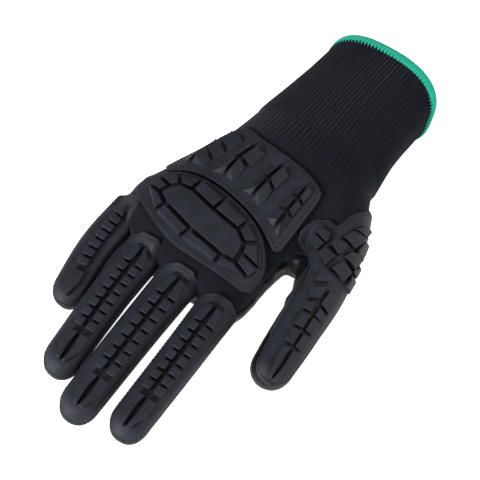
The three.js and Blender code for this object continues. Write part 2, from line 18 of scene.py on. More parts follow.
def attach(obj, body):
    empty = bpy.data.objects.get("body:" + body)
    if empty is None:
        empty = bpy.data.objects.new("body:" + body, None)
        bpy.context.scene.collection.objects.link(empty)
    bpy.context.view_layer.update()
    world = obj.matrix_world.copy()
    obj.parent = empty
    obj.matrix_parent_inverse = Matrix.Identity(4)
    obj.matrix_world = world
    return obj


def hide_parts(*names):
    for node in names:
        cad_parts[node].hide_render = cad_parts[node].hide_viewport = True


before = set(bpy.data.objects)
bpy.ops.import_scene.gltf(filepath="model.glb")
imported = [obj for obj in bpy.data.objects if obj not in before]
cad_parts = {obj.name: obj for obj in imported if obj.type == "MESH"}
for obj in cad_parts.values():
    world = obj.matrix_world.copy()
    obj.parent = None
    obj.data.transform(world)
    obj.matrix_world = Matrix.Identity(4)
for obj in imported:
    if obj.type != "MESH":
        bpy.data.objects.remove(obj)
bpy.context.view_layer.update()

LOG = logging.getLogger("glove")
MM = 0.001
ORIGIN = Vector((0.933, -2.318, 0.0))  # the frame's origin seen from the hand's own axes

Ring = Sequence[Vector]
Surface = Callable[[float, float, float], Vector]
Flat = Sequence[tuple[float, float]]


@dataclass(frozen=True)
class Walls:
    """Thicknesses of the layers."""

    knit: float = 1.6
    coat: float = 0.9
    sheet: float = 1.7
    block: float = 2.7
    fit: float = 0.3
    sunk: float = -1.0

    @property
    def lift(self) -> float:
        """Height of a guard's sheet above the knit."""
        return self.fit + self.sheet


WALLS = Walls()


def lerp(a: float, b: float, share: float) -> float:
    """Value between a and b."""
    return a + (b - a) * share


def clamp(value: float, low: float = 0.0, high: float = 1.0) -> float:
    """Value held between two limits."""
    return max(low, min(high, value))


def smoothstep(low: float, high: float, value: float) -> float:
    """Soft step from 0 at low to 1 at high."""
    t = clamp((value - low) / (high - low))
    return t * t * (3 - 2 * t)


# Form of the hand


@dataclass(frozen=True)
class Section:
    """One cross section of hand or cuff.

    back moves the little finger's side towards the wrist, and lean tips the top away from the hand.
    """

    y: float
    left: float
    right: float
    low: float
    high: float
    back: float = 0.0
    lean: float = 0.0

    UPPER_POWER = 2.5
    LOWER_POWER = 3.2

    @staticmethod
    def curve(angle: float) -> tuple[float, float]:
        """Finds a point of the superellipse.

        Args:
            angle: angle round the section.

        Returns:
            The point's place across and up, from -1 to 1.
        """
        power = 2 / (Section.LOWER_POWER if math.sin(angle) < 0 else Section.UPPER_POWER)

        def part(value: float) -> float:
            """The power of a value, with its sign kept."""
            return math.copysign(abs(value) ** power, value)

        return part(math.cos(angle)), part(math.sin(angle))

    def point(self, angle: float, offset: float = 0.0) -> Vector:
        """Finds a point on the section.

        Args:
            angle: angle round the section, from the thumb's side.
            offset: how far the section is grown.

        Returns:
            The point.
        """
        across, up = self.curve(angle)
        bare = (self.high - self.low) / 2
        tall = bare + offset
        towards_wrist = self.back * ((1 - across) / 2) ** 6 + self.lean * up * tall / bare
        return Vector(
            (
                (self.left + self.right) / 2 + ((self.right - self.left) / 2 + offset) * across,
                self.y + towards_wrist,
                (self.low + self.high) / 2 + tall * up,
            )
        )

    def ring(self, sides: int, offset: float = 0.0) -> list[Vector]:
        """All round the section."""
        return [self.point(math.tau * i / sides, offset) for i in range(sides)]


HAND_ROWS = (
    Section(-37, -52, 17, 8, 20, 12),
    Section(-34, -60, 23, 2, 25, 18),
    Section(-26, -63, 25, -1, 28.5, 16),
    Section(-10, -63.5, 25.5, -1, 31.5, 5),
    Section(8, -58.5, 28, -1, 33),
    Section(26, -50, 33, -1, 34.5),
    Section(44, -43.4, 38.3, -0.5, 36.5),
    Section(58, -39.7, 40.3, 1.2, 38.5, 0, 0.5),
    Section(68, -37.4, 39.2, 1.1, 40, 0, 1.7),
    Section(90, -33, 36.6, 1.1, 43, 0, 3),
    Section(115.5, -27.6, 37.3, 1.8, 49, 0, 5.3),
    Section(117, -27.5, 37.7, 1.9, 49.5, 0, 5.5),
    Section(121, -27.1, 38.8, 2.1, 51, 0, 6),
)
RIM_Y = 121.0


def section_at(y: float) -> Section:
    """Finds a section, smooth through the table's rows (a cubic with averaged slopes).

    Args:
        y: distance along the hand.

    Returns:
        The section there.
    """
    rows = HAND_ROWS
    k = max(0, min(len(rows) - 2, next((i for i, row in enumerate(rows) if row.y > y), len(rows)) - 1))
    step = rows[k + 1].y - rows[k].y
    t = clamp((y - rows[k].y) / step)

    def slope(i: int, name: str) -> float:
        """Averaged slope of a value at a row."""
        a, b = rows[max(i - 1, 0)], rows[min(i + 1, len(rows) - 1)]
        return (getattr(b, name) - getattr(a, name)) / (b.y - a.y)

    def at(name: str) -> float:
        """Value between the two rows."""
        a, b = getattr(rows[k], name), getattr(rows[k + 1], name)
        rise = b - a
        first, last = slope(k, name) * step, slope(k + 1, name) * step
        # A cubic keeps between its two rows when no slope is steeper than three times the rise
        first = clamp(first, min(0, 3 * rise), max(0, 3 * rise))
        last = clamp(last, min(0, 3 * rise), max(0, 3 * rise))
        return (
            a * (2 * t**3 - 3 * t**2 + 1) + b * (3 * t**2 - 2 * t**3)
            + first * (t**3 - 2 * t**2 + t) + last * (t**3 - t**2)
        )

    return Section(y, *(at(name) for name in ("left", "right", "low", "high", "back", "lean")))


@dataclass
class Finger:
    """A finger: centre line from inside the hand to the middle of the round tip, and half sizes along it."""

    line: Sequence[tuple[float, float, float]]
    half: Sequence[tuple[float, float]]
    turn: float = 0.0  # how far its guard is turned towards the thumb, in degrees
    samples: list[tuple[float, Vector]] = field(default_factory=list)

    STEPS = 240

    def __post_init__(self) -> None:
        """Measures the line once, so that places along it are real lengths."""
        last = self.on_line(0.0)
        run = 0.0
        for i in range(self.STEPS + 1):
            here = self.on_line(i / self.STEPS)
            run += (here - last).length
            self.samples.append((run, here))
            last = here

    def on_line(self, t: float) -> Vector:
        """Runs a centripetal spline through the line's points.

        Args:
            t: share of the line, from 0 to 1.

        Returns:
            The place.
        """
        points = [Vector(p) for p in self.line]
        place = t * (len(points) - 1)
        k = min(int(place), len(points) - 2)
        w = place - k
        b, c = points[k], points[k + 1]
        a = points[k - 1] if k else b * 2 - c
        d = points[k + 2] if k + 2 < len(points) else c * 2 - b
        g0, g1, g2 = (math.sqrt((q - p).length) for p, q in ((a, b), (b, c), (c, d)))
        first = ((b - a) / g0 - (c - a) / (g0 + g1) + (c - b) / g1) * g1
        last = ((c - b) / g1 - (d - b) / (g1 + g2) + (d - c) / g2) * g1
        cubic = b * 2 - c * 2 + first + last
        square = c * 3 - b * 3 - first * 2 - last
        return b + first * w + square * w * w + cubic * w**3

    @property
    def length(self) -> float:
        """Length of the centre line."""
        return self.samples[-1][0]

    def centre(self, s: float) -> tuple[Vector, Vector]:
        """Follows the centre line.

        Args:
            s: distance along it.

        Returns:
            Its place and its direction.
        """
        s = clamp(s, 0.0, self.length)
        k = max(1, next((i for i, (run, _) in enumerate(self.samples) if run >= s), self.STEPS))
        (run_a, a), (run_b, b) = self.samples[k - 1], self.samples[k]
        share = (s - run_a) / max(run_b - run_a, 1e-6)
        ahead = self.samples[min(k + 3, self.STEPS)][1]
        behind = self.samples[max(k - 4, 0)][1]
        return a.lerp(b, clamp(share)), (ahead - behind).normalized()

    def size(self, s: float) -> tuple[float, float]:
        """Finds the finger's size.

        Args:
            s: distance along the finger.

        Returns:
            Half width and half height.
        """
        share = clamp(s / self.length) * (len(self.half) - 1)
        k = min(int(share), len(self.half) - 2)
        (wide_a, high_a), (wide_b, high_b) = self.half[k], self.half[k + 1]
        return lerp(wide_a, wide_b, share - k), lerp(high_a, high_b, share - k)

    def axes(self, s: float) -> tuple[Vector, Vector, Vector, Vector]:
        """Finds the finger's own axes.

        Args:
            s: distance along the finger.

        Returns:
            Centre, direction, sideways (towards the thumb) and up.
        """
        centre, along = self.centre(s)
        side = -along.cross(Vector((0, 0, 1))).normalized()
        up = along.cross(side).normalized()
        return centre, along, side, up if up.z > 0 else -up

    def point(self, s: float, angle: float, offset: float = 0.0, power: float = 2.0) -> Vector:
        """A point on the finger.

        Args:
            s: distance along it.
            angle: angle from its back towards the thumb's side.
            offset: height above it.
            power: 2 on its round skin, more where a flat piece stands off its shoulders.

        Returns:
            The point.
        """
        centre, along, side, up = self.axes(s)
        wide, high = self.size(s)
        # Past the centre line's end the rest of the length runs round the tip
        nose = min(max(0.0, s - self.length) / wide, math.pi / 2)
        across, rise = math.sin(angle), math.cos(angle)
        out = (abs(across) ** power + abs(rise) ** power) ** (-1 / power)
        return (
            centre
            + along * ((wide + offset) * math.sin(nose))
            + side * ((wide + offset) * math.cos(nose) * across * out)
            + up * ((high + offset) * math.cos(nose) * rise * out)
        )

    def rings(self, sides: int, step: float) -> list[list[Vector]]:
        """Rings the finger, along it and round its tip.

        Args:
            sides: points of a ring.
            step: distance of the rings.

        Returns:
            The rings.
        """
        wide = self.size(self.length)[0]
        straight = int(self.length / step)
        places = [self.length * i / straight for i in range(straight + 1)]
        places += [self.length + wide * math.radians(a) for a in (18, 36, 52, 66, 78)]
        return [[self.point(s, math.tau * i / sides) for i in range(sides)] for s in places]


FINGERS = {
    "index": Finger(
        ((14, -8, 16), (16, -66, 12.5), (16.8, -107.5, 9.3)), ((9.6, 9.8), (8.5, 8.6), (8.1, 7.9)), turn=5
    ),
    "middle": Finger(
        ((-10, -8, 17), (-9.6, -70, 13), (-8.6, -114.5, 9.3)), ((9.8, 10), (8.7, 8.8), (8.2, 7.9)), turn=11
    ),
    "ring": Finger(
        ((-35, -8, 16), (-33.4, -62, 12.5), (-30.2, -102, 9.3)), ((9.6, 9.8), (8.5, 8.6), (8, 7.8)), turn=10
    ),
    "little": Finger(
        ((-55, 4, 14), (-57, -42, 11.5), (-52.4, -71.5, 9)), ((8.8, 9), (7.9, 8), (7.3, 7.3)), turn=6
    ),
    "thumb": Finger(
        ((29.5, 51, 20), (40.5, 28, 18), (47.8, 3, 15), (51.5, -24, 13), (53.5, -44, 11.5)),
        ((14.5, 15), (13.8, 14), (12.3, 12.5), (10.8, 10.8), (10, 9.8)),
    ),
}
# The fold of skin between thumb and index finger
WEB = Finger(((20, 14.5, 13), (31, 12.8, 13), (43, 16.5, 14)), ((9, 10), (8.5, 9.5), (9, 10)))


# Finishes


def linear(code: str) -> tuple[float, float, float, float]:
    """An sRGB hex colour as the linear one that shaders take."""
    parts = (int(code[i : i + 2], 16) / 255 for i in (1, 3, 5))
    return (*(p / 12.92 if p <= 0.04045 else ((p + 0.055) / 1.055) ** 2.4 for p in parts), 1.0)


class Graph:
    """A material's node tree, with one way to add a node."""

    def __init__(self, name: str, roughness: float, specular: float = 0.5) -> None:
        """Starts a material with its shader.

        Args:
            name: the real material's name.
            roughness: the shader's roughness.
            specular: the shader's specular level.
        """
        self.material = bpy.data.materials.new(name)
        self.material.use_nodes = True
        self.tree = self.material.node_tree
        self.shader = self.tree.nodes["Principled BSDF"]
        self.shader.inputs["Roughness"].default_value = roughness
        self.shader.inputs["Specular IOR Level"].default_value = specular

    def add(self, kind: str, settings: Optional[dict] = None, **links: object) -> bpy.types.Node:
        """Adds a node.

        Args:
            kind: the node's type without its ShaderNode prefix.
            settings: attributes of the node.
            links: input name (with _ for a blank, or iN for input N) to a value or an output socket.

        Returns:
            The new node.
        """
        node = self.tree.nodes.new("ShaderNode" + kind)
        for key, value in (settings or {}).items():
            setattr(node, key, value)
        for key, value in links.items():
            socket = node.inputs[int(key[1:])] if key[1:].isdigit() else node.inputs[key.replace("_", " ")]
            if isinstance(value, bpy.types.NodeSocket):
                self.tree.links.new(value, socket)
            else:
                socket.default_value = value
        return node

    def link(self, output: bpy.types.NodeSocket, name: str) -> None:
        """Joins an output to a socket of the shader."""
        self.tree.links.new(output, self.shader.inputs[name])

    def ramp(self, value: bpy.types.NodeSocket, stops: Iterable[tuple[float, str]]) -> bpy.types.NodeSocket:
        """Adds a colour ramp.

        Args:
            value: the value's socket.
            stops: places and their hex colours.

        Returns:
            The colour's socket.
        """
        node = self.add("ValToRGB", i0=value)
        elements = node.color_ramp.elements
        for i, (place, code) in enumerate(stops):
            element = elements[i] if i < 2 else elements.new(place)
            element.position = place
            element.color = linear(code)
        return node.outputs["Color"]

    def bump(self, height: bpy.types.NodeSocket, depth_mm: float, strength: float = 1.0,
             below: Optional[bpy.types.NodeSocket] = None) -> bpy.types.NodeSocket:
        """Adds a bump of a real depth.

        Args:
            height: the pattern's socket.
            depth_mm: the real depth of its full range.
            strength: its share.
            below: the normal of a coarser bump under it.

        Returns:
            The normal's socket.
        """
        node = self.add("Bump", Height=height, Distance=depth_mm * MM, Strength=strength)
        if below:
            self.tree.links.new(below, node.inputs["Normal"])
        return node.outputs["Normal"]

    def math(self, operation: str, a: object, b: object = 0.0) -> bpy.types.NodeSocket:
        """One sum of two values."""
        return self.add("Math", {"operation": operation}, i0=a, i1=b).outputs[0]


@dataclass(frozen=True)
class PolyesterKnit:
    """Fine-gauge polyester jersey: columns of small V stitches, matt with a faint fibre sheen, with painted
    shade between the loops and in the ribs' channels.
    """

    name: str = "polyester knit"
    wale_mm: float = 1.05
    course_mm: float = 0.8
    rib_mm: float = 0.5
    dark: str = "#05060b"
    light: str = "#1d1f2a"
    slant: float = 1.5  # how steeply the legs of a V run, in courses for each wale
    loop_mm: float = 0.28
    fibre_mm: float = 0.05
    fibres_per_m: float = 900.0
    patches_per_m: float = 60.0

    def build(self) -> bpy.types.Material:
        """Makes the material.

        Its pattern follows the piece's knit attribute: wales around, millimetres along, and the ribs' share.

        Returns:
            The material.
        """
        g = Graph(self.name, roughness=0.9, specular=0.12)
        g.shader.inputs["Sheen Weight"].default_value = 0.05
        g.shader.inputs["Sheen Roughness"].default_value = 0.4
        place = g.add("Attribute", {"attribute_name": "knit"}).outputs["Vector"]
        axes = g.add("SeparateXYZ", i0=place)
        column = g.math("MULTIPLY", axes.outputs[0], 1 / self.wale_mm)
        inside = g.math("PINGPONG", column, 0.5)
        # Each leg of a V runs down from the column's edge to its middle
        course = g.math("MULTIPLY", axes.outputs[1], 1 / self.course_mm)
        row = g.math("ADD", course, g.math("MULTIPLY", inside, self.slant))
        leg = g.math("MULTIPLY", g.math("PINGPONG", row, 0.5), 2.0)
        beside = g.math("ABSOLUTE", g.math("SUBTRACT", g.math("MULTIPLY", inside, 4.0), 1.0))
        loops = g.math("MULTIPLY", leg, g.math("SUBTRACT", 1.0, g.math("POWER", beside, 3.0)))
        world = g.add("TexCoord").outputs["Object"]
        fuzz = g.add("TexNoise", Vector=world, Scale=self.fibres_per_m, Detail=3.0)
        patchy = g.add("TexNoise", Vector=world, Scale=self.patches_per_m, Detail=2.0)
        # Painted shade: the loops are lighter and the valleys between them darker, with random fibre and
        # patch tone added
        tone = g.math("ADD", g.math("MULTIPLY", loops, 0.75), g.math("MULTIPLY", fuzz.outputs["Fac"], 0.2))
        tone = g.math("ADD", tone, g.math("MULTIPLY", patchy.outputs["Fac"], 0.12))
        # Shallow ribs where the jersey turns into the cuff, two wales each; their channels are painted
        # darker, as painted shade
        rib = g.math("MULTIPLY", g.math("PINGPONG", axes.outputs[0], 1.0), axes.outputs[2])
        tone = g.math("SUBTRACT", tone, g.math("MULTIPLY", rib, 0.3))
        g.link(g.ramp(tone, ((0.1, self.dark), (0.95, self.light))), "Base Color")
        rough = g.bump(fuzz.outputs["Fac"], self.fibre_mm, 0.3)
        ribbed = g.bump(g.math("SUBTRACT", 1.0, rib), self.rib_mm, 1.0, rough)
        g.link(g.bump(loops, self.loop_mm, 0.8, ribbed), "Normal")
        return g.material


@dataclass(frozen=True)
class NitrileDip:
    """Nitrile rubber dipped over knit: black, semi-gloss, with a faint crinkle and soft flow marks."""

    name: str = "nitrile dip"
    body: str = "#050608"
    worn: str = "#0c0d11"
    flow_mm: float = 12.0
    crinkle_mm: float = 2.6
    grain_mm: float = 0.5

    def build(self) -> bpy.types.Material:
        """Makes the material on object coordinates.

        Returns:
            The material.
        """
        g = Graph(self.name, roughness=0.5, specular=0.12)
        place = g.add("TexCoord").outputs["Object"]
        flow = g.add("TexNoise", Vector=place, Scale=1 / (self.flow_mm * MM), Detail=3.0, Roughness=0.55)
        crinkles = 1 / (self.crinkle_mm * MM)
        crinkle = g.add("TexVoronoi", {"feature": "SMOOTH_F1"}, Vector=place, Scale=crinkles)
        grain = g.add("TexNoise", Vector=place, Scale=1 / (self.grain_mm * MM), Detail=2.0)
        g.link(g.ramp(flow.outputs["Fac"], ((0.35, self.body), (0.75, self.worn))), "Base Color")
        g.link(g.add("MapRange", i0=flow.outputs["Fac"], i3=0.42, i4=0.58).outputs[0], "Roughness")
        soft = g.bump(flow.outputs["Fac"], 0.9, 0.35)
        folds = g.bump(crinkle.outputs["Distance"], 0.35, 0.25, soft)
        g.link(g.bump(grain.outputs["Fac"], 0.04, 0.25, folds), "Normal")
        return g.material


@dataclass(frozen=True)
class MouldedRubber:
    """Injection-moulded thermoplastic rubber: slate black, satin, with a fine spark-eroded grain, dust, and
    painted shade that turns its grooves near black.
    """

    name: str = "moulded rubber"
    body: str = "#13151c"
    rubbed: str = "#1d202a"
    dust: str = "#4a4c53"
    # near black of the painted shade in the grooves
    painted_groove_shade: str = "#030304"
    # how far the painted shade looks for walls round a groove
    groove_mm: float = 3.2
    cloud_mm: float = 9.0
    grain_mm: float = 0.35
    speck_mm: float = 3.2

    def build(self) -> bpy.types.Material:
        """Makes the material on object coordinates.

        Returns:
            The material.
        """
        g = Graph(self.name, roughness=0.6, specular=0.25)
        place = g.add("TexCoord").outputs["Object"]
        cloud = g.add("TexNoise", Vector=place, Scale=1 / (self.cloud_mm * MM), Detail=4.0, Roughness=0.6)
        # Painted shade: where ambient occlusion finds a groove, the colour is mixed towards near black
        open_sky = g.add("AmbientOcclusion", {"samples": 6}, Distance=self.groove_mm * MM).outputs["AO"]
        painted_shade = g.add("MapRange", i0=open_sky, i1=0.42, i2=0.7, i3=0.94, i4=0.0).outputs[0]
        grain = g.add("TexNoise", Vector=place, Scale=1 / (self.grain_mm * MM), Detail=2.0)
        specks = g.add("TexVoronoi", {"feature": "F1"}, Vector=place, Scale=1 / (self.speck_mm * MM))
        tone = g.ramp(cloud.outputs["Fac"], ((0.3, self.body), (0.72, self.rubbed)))
        speck = g.ramp(specks.outputs["Distance"], ((0.04, "#ffffff"), (0.07, "#000000")))
        sparse = g.ramp(cloud.outputs["Fac"], ((0.55, "#000000"), (0.6, "#ffffff")))
        dusty = g.math("MULTIPLY", g.math("MULTIPLY", speck, sparse), 0.5)
        mixed = g.add("Mix", {"data_type": "RGBA"}, i0=dusty, i6=tone, i7=linear(self.dust)).outputs[2]
        shaded = g.add("Mix", {"data_type": "RGBA"}, i0=painted_shade, i6=mixed, i7=linear(self.painted_groove_shade)).outputs[2]
        g.link(shaded, "Base Color")
        g.link(g.add("MapRange", i0=cloud.outputs["Fac"], i3=0.55, i4=0.7).outputs[0], "Roughness")
        g.link(g.bump(grain.outputs["Fac"], 0.05, 0.35), "Normal")
        return g.material


@dataclass(frozen=True)
class SewingThread:
    """Spun polyester thread: matt, with the twist of its plies."""

    name: str
    shade: str
    light: str
    sheen: float = 0.15
    ply_mm: float = 0.45

    def build(self) -> bpy.types.Material:
        """Makes the material on object coordinates.

        Returns:
            The material.
        """
        g = Graph(self.name, roughness=0.72, specular=0.2)
        g.shader.inputs["Sheen Weight"].default_value = self.sheen
        place = g.add("TexCoord").outputs["Object"]
        ply = g.add("TexNoise", Vector=place, Scale=1 / (self.ply_mm * MM), Detail=3.0)
        g.link(g.ramp(ply.outputs["Fac"], ((0.3, self.shade), (0.7, self.light))), "Base Color")
        g.link(g.bump(ply.outputs["Fac"], 0.08, 0.5), "Normal")
        return g.material


class Finish(Enum):
    """The glove's finishes."""

    KNIT = PolyesterKnit()
    NITRILE = NitrileDip()
    RUBBER = MouldedRubber()
    GREEN = SewingThread("green overlock thread", "#047c68", "#0eb092")
    BLACK = SewingThread("black sewing thread", "#010102", "#08090b", 0.0)

    @property
    def material(self) -> bpy.types.Material:
        """The finish's material, made once."""
        known = bpy.data.materials.get(self.value.name)
        return known or self.value.build()


# Meshes


def to_piece(
    name: str, bm: bmesh.types.BMesh, finish: Finish, nodes: Sequence[str] = ()
) -> bpy.types.Object:
    """Turns a bmesh in hand millimetres into a finished piece that rides on the glove.

    Args:
        name: the piece's name.
        bm: the mesh; it is freed.
        finish: the piece's finish.
        nodes: CAD nodes that the piece stands for.

    Returns:
        The piece's object.
    """
    for vert in bm.verts:
        vert.co = (vert.co + ORIGIN) * MM
    mesh = bpy.data.meshes.new(name)
    bm.to_mesh(mesh)
    bm.free()
    piece = bpy.data.objects.new(name, mesh)
    bpy.context.scene.collection.objects.link(piece)
    mesh.materials.append(finish.material)
    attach(piece, "root")
    if nodes:
        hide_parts(*nodes)
    LOG.info("%s: %d faces", name, len(mesh.polygons))
    return piece


def tube(bm: bmesh.types.BMesh, rings: Sequence[Ring], capped: bool = True) -> None:
    """Skins closed rings of points: a grid is rolled up, welded along its seam and capped.

    Args:
        bm: the mesh that takes the tube.
        rings: the rings.
        capped: whether all open ends in the mesh are closed.
    """
    sides = len(rings[0])
    verts = bmesh.ops.create_grid(bm, x_segments=sides, y_segments=len(rings) - 1, size=1)["verts"]
    for i, vert in enumerate(verts):
        row, column = divmod(i, sides + 1)
        vert.co = rings[row][column % sides]
    bmesh.ops.remove_doubles(bm, verts=verts, dist=1e-4)
    if capped:
        rims = [edge for edge in bm.edges if edge.is_boundary]
        bmesh.ops.holes_fill(bm, edges=rims, sides=0)


def soften(bm: bmesh.types.BMesh, verts: Sequence[bmesh.types.BMVert], times: int) -> None:
    """Evens out the verts' places."""
    for _ in range(times):
        bmesh.ops.smooth_vert(bm, verts=verts, factor=0.5, use_axis_x=True, use_axis_y=True, use_axis_z=True)


def shade_smooth(bm: bmesh.types.BMesh, sharp_degrees: float = 50.0) -> None:
    """Shades a mesh smooth, with hard edges.

    Args:
        bm: the mesh.
        sharp_degrees: the angle between faces from which their edge stays hard.
    """
    limit = math.radians(sharp_degrees)
    for face in bm.faces:
        face.smooth = True
    for edge in bm.edges:
        if edge.is_boundary or (len(edge.link_faces) == 2 and edge.calc_face_angle(0.0) > limit):
            edge.smooth = False


def fused(bm: bmesh.types.BMesh, voxel: float) -> bmesh.types.BMesh:
    """Makes one skin round overlapping bodies.

    Args:
        bm: the bodies; it is freed.
        voxel: the remesh's voxel.

    Returns:
        The skin.
    """
    mesh = bpy.data.meshes.new("rough form")
    bm.to_mesh(mesh)
    bm.free()
    rough = bpy.data.objects.new("rough form", mesh)
    bpy.context.scene.collection.objects.link(rough)
    remesh = rough.modifiers.new("fuse", "REMESH")
    remesh.mode = "VOXEL"
    remesh.voxel_size = voxel
    whole = bpy.data.meshes.new_from_object(rough.evaluated_get(bpy.context.evaluated_depsgraph_get()))
    result = bmesh.new()
    result.from_mesh(whole)
    bpy.data.objects.remove(rough)
    bpy.data.meshes.remove(mesh)
    bpy.data.meshes.remove(whole)
    return result


def walled(piece: bpy.types.Object, thickness: float) -> None:
    """Gives an open skin its thickness, inwards.

    Args:
        piece: the skin's object.
        thickness: its thickness, in millimetres.
    """
    wall = piece.modifiers.new("wall", "SOLIDIFY")
    wall.thickness = thickness * MM
    wall.offset = -1
    wall.use_even_offset = True


def flat_shaded(piece: bpy.types.Object) -> None:
    """Lets the large faces rule the shading, so that bevels stay crisp."""
    weighted = piece.modifiers.new("shading", "WEIGHTED_NORMAL")
    weighted.keep_sharp = True


def ripple(point: Vector, size: float, depth: float, seed: float = 0.0) -> float:
    """Soft uneven height at a point, for cloth and dipped rubber."""
    return noise.noise(point / size + Vector((seed, 0, 0))) * depth


# Flat outlines


def inset(corners: Flat, distances: float | Sequence[float]) -> list[tuple[float, float]]:
    """Moves a convex outline inwards.

    Args:
        corners: the outline.
        distances: one distance, or one for each edge.

    Returns:
        The new corners.
    """
    points = [Vector(c) for c in corners]
    count = len(points)
    steps = [distances] * count if isinstance(distances, (int, float)) else distances
    area = sum(a.x * b.y - a.y * b.x for a, b in zip(points, points[1:] + points[:1]))
    edges = []
    for i, point in enumerate(points):
        along = (points[(i + 1) % count] - point).normalized()
        inwards = Vector((-along.y, along.x)) * math.copysign(1, area)
        edges.append((point + inwards * steps[i], along))
    moved = []
    for i, (start, along) in enumerate(edges):
        before, towards = edges[i - 1]
        cross = towards.x * along.y - towards.y * along.x
        gap = start - before
        moved.append(tuple(before + towards * ((gap.x * along.y - gap.y * along.x) / cross)))
    return moved


NEARLY_HALF = 0.49  # of an edge, so that the curves of two corners don't meet


def rounded(corners: Flat, radius: float = 1.8, steps: int = 3, gentle: float = 32.0) -> list[Vector]:
    """Eases an outline's corners.

    Args:
        corners: the outline.
        radius: how far from a sharp corner its curve starts.
        steps: edges of each corner's curve.
        gentle: corners that turn by fewer degrees are eased over half of both edges.

    Returns:
        The eased outline, steps + 1 points for each corner.
    """
    points = [Vector(c) for c in corners]
    curve = []
    for i, point in enumerate(points):
        before, after = points[i - 1] - point, points[(i + 1) % len(points)] - point
        eased = before.angle(-after) < math.radians(gentle)
        start = point + before * (NEARLY_HALF if eased else min(NEARLY_HALF, radius / before.length))
        end = point + after * (NEARLY_HALF if eased else min(NEARLY_HALF, radius / after.length))
        for k in range(steps + 1):
            w = k / steps
            curve.append(start * (1 - w) ** 2 + point * 2 * w * (1 - w) + end * w * w)
    return curve


def walk(path: Sequence[Vector], step: float) -> list[tuple[Vector, Vector]]:
    """Walks round a closed path in even steps.

    Args:
        path: the path's points.
        step: the wanted step, which is rounded to fit.

    Returns:
        Each step's place and direction.
    """
    points = list(path) + [path[0]]
    total = sum((b - a).length for a, b in zip(points, points[1:]))
    pace = total / round(total / step)
    places, left = [], 0.0
    for a, b in zip(points, points[1:]):
        length = (b - a).length
        while left < length - 1e-6:
            places.append((a.lerp(b, left / length), (b - a).normalized()))
            left += pace
        left -= length
    return places


def pulled_in(path: Sequence[Vector], distance: float) -> list[Vector]:
    """Moves a smooth outline inwards, point by point.

    Args:
        path: the outline.
        distance: how far it moves.

    Returns:
        The new outline.
    """
    count = len(path)
    area = sum(a.x * b.y - a.y * b.x for a, b in zip(path, list(path[1:]) + [path[0]]))
    turn = math.copysign(1, area)
    moved = []
    for i, point in enumerate(path):
        along = (path[(i + 1) % count] - path[i - 1]).normalized()
        moved.append(point + Vector((-along.y, along.x)) * turn * distance)
    return moved


def inside_distance(outline: Flat, x: float, y: float) -> float:
    """Measures how far a place lies inside an outline.

    Args:
        outline: the outline.
        x: the place across.
        y: the place along.

    Returns:
        The distance, positive inside.
    """
    best, odd = 1e9, False
    for (ax, ay), (bx, by) in zip(outline, list(outline[1:]) + [outline[0]]):
        run = (bx - ax) ** 2 + (by - ay) ** 2
        share = clamp(((x - ax) * (bx - ax) + (y - ay) * (by - ay)) / run)
        best = min(best, math.hypot(x - lerp(ax, bx, share), y - lerp(ay, by, share)))
        if (ay > y) != (by > y) and x < ax + (y - ay) / (by - ay) * (bx - ax):
            odd = not odd
    return best if odd else -best


# Liner, cuff and dip


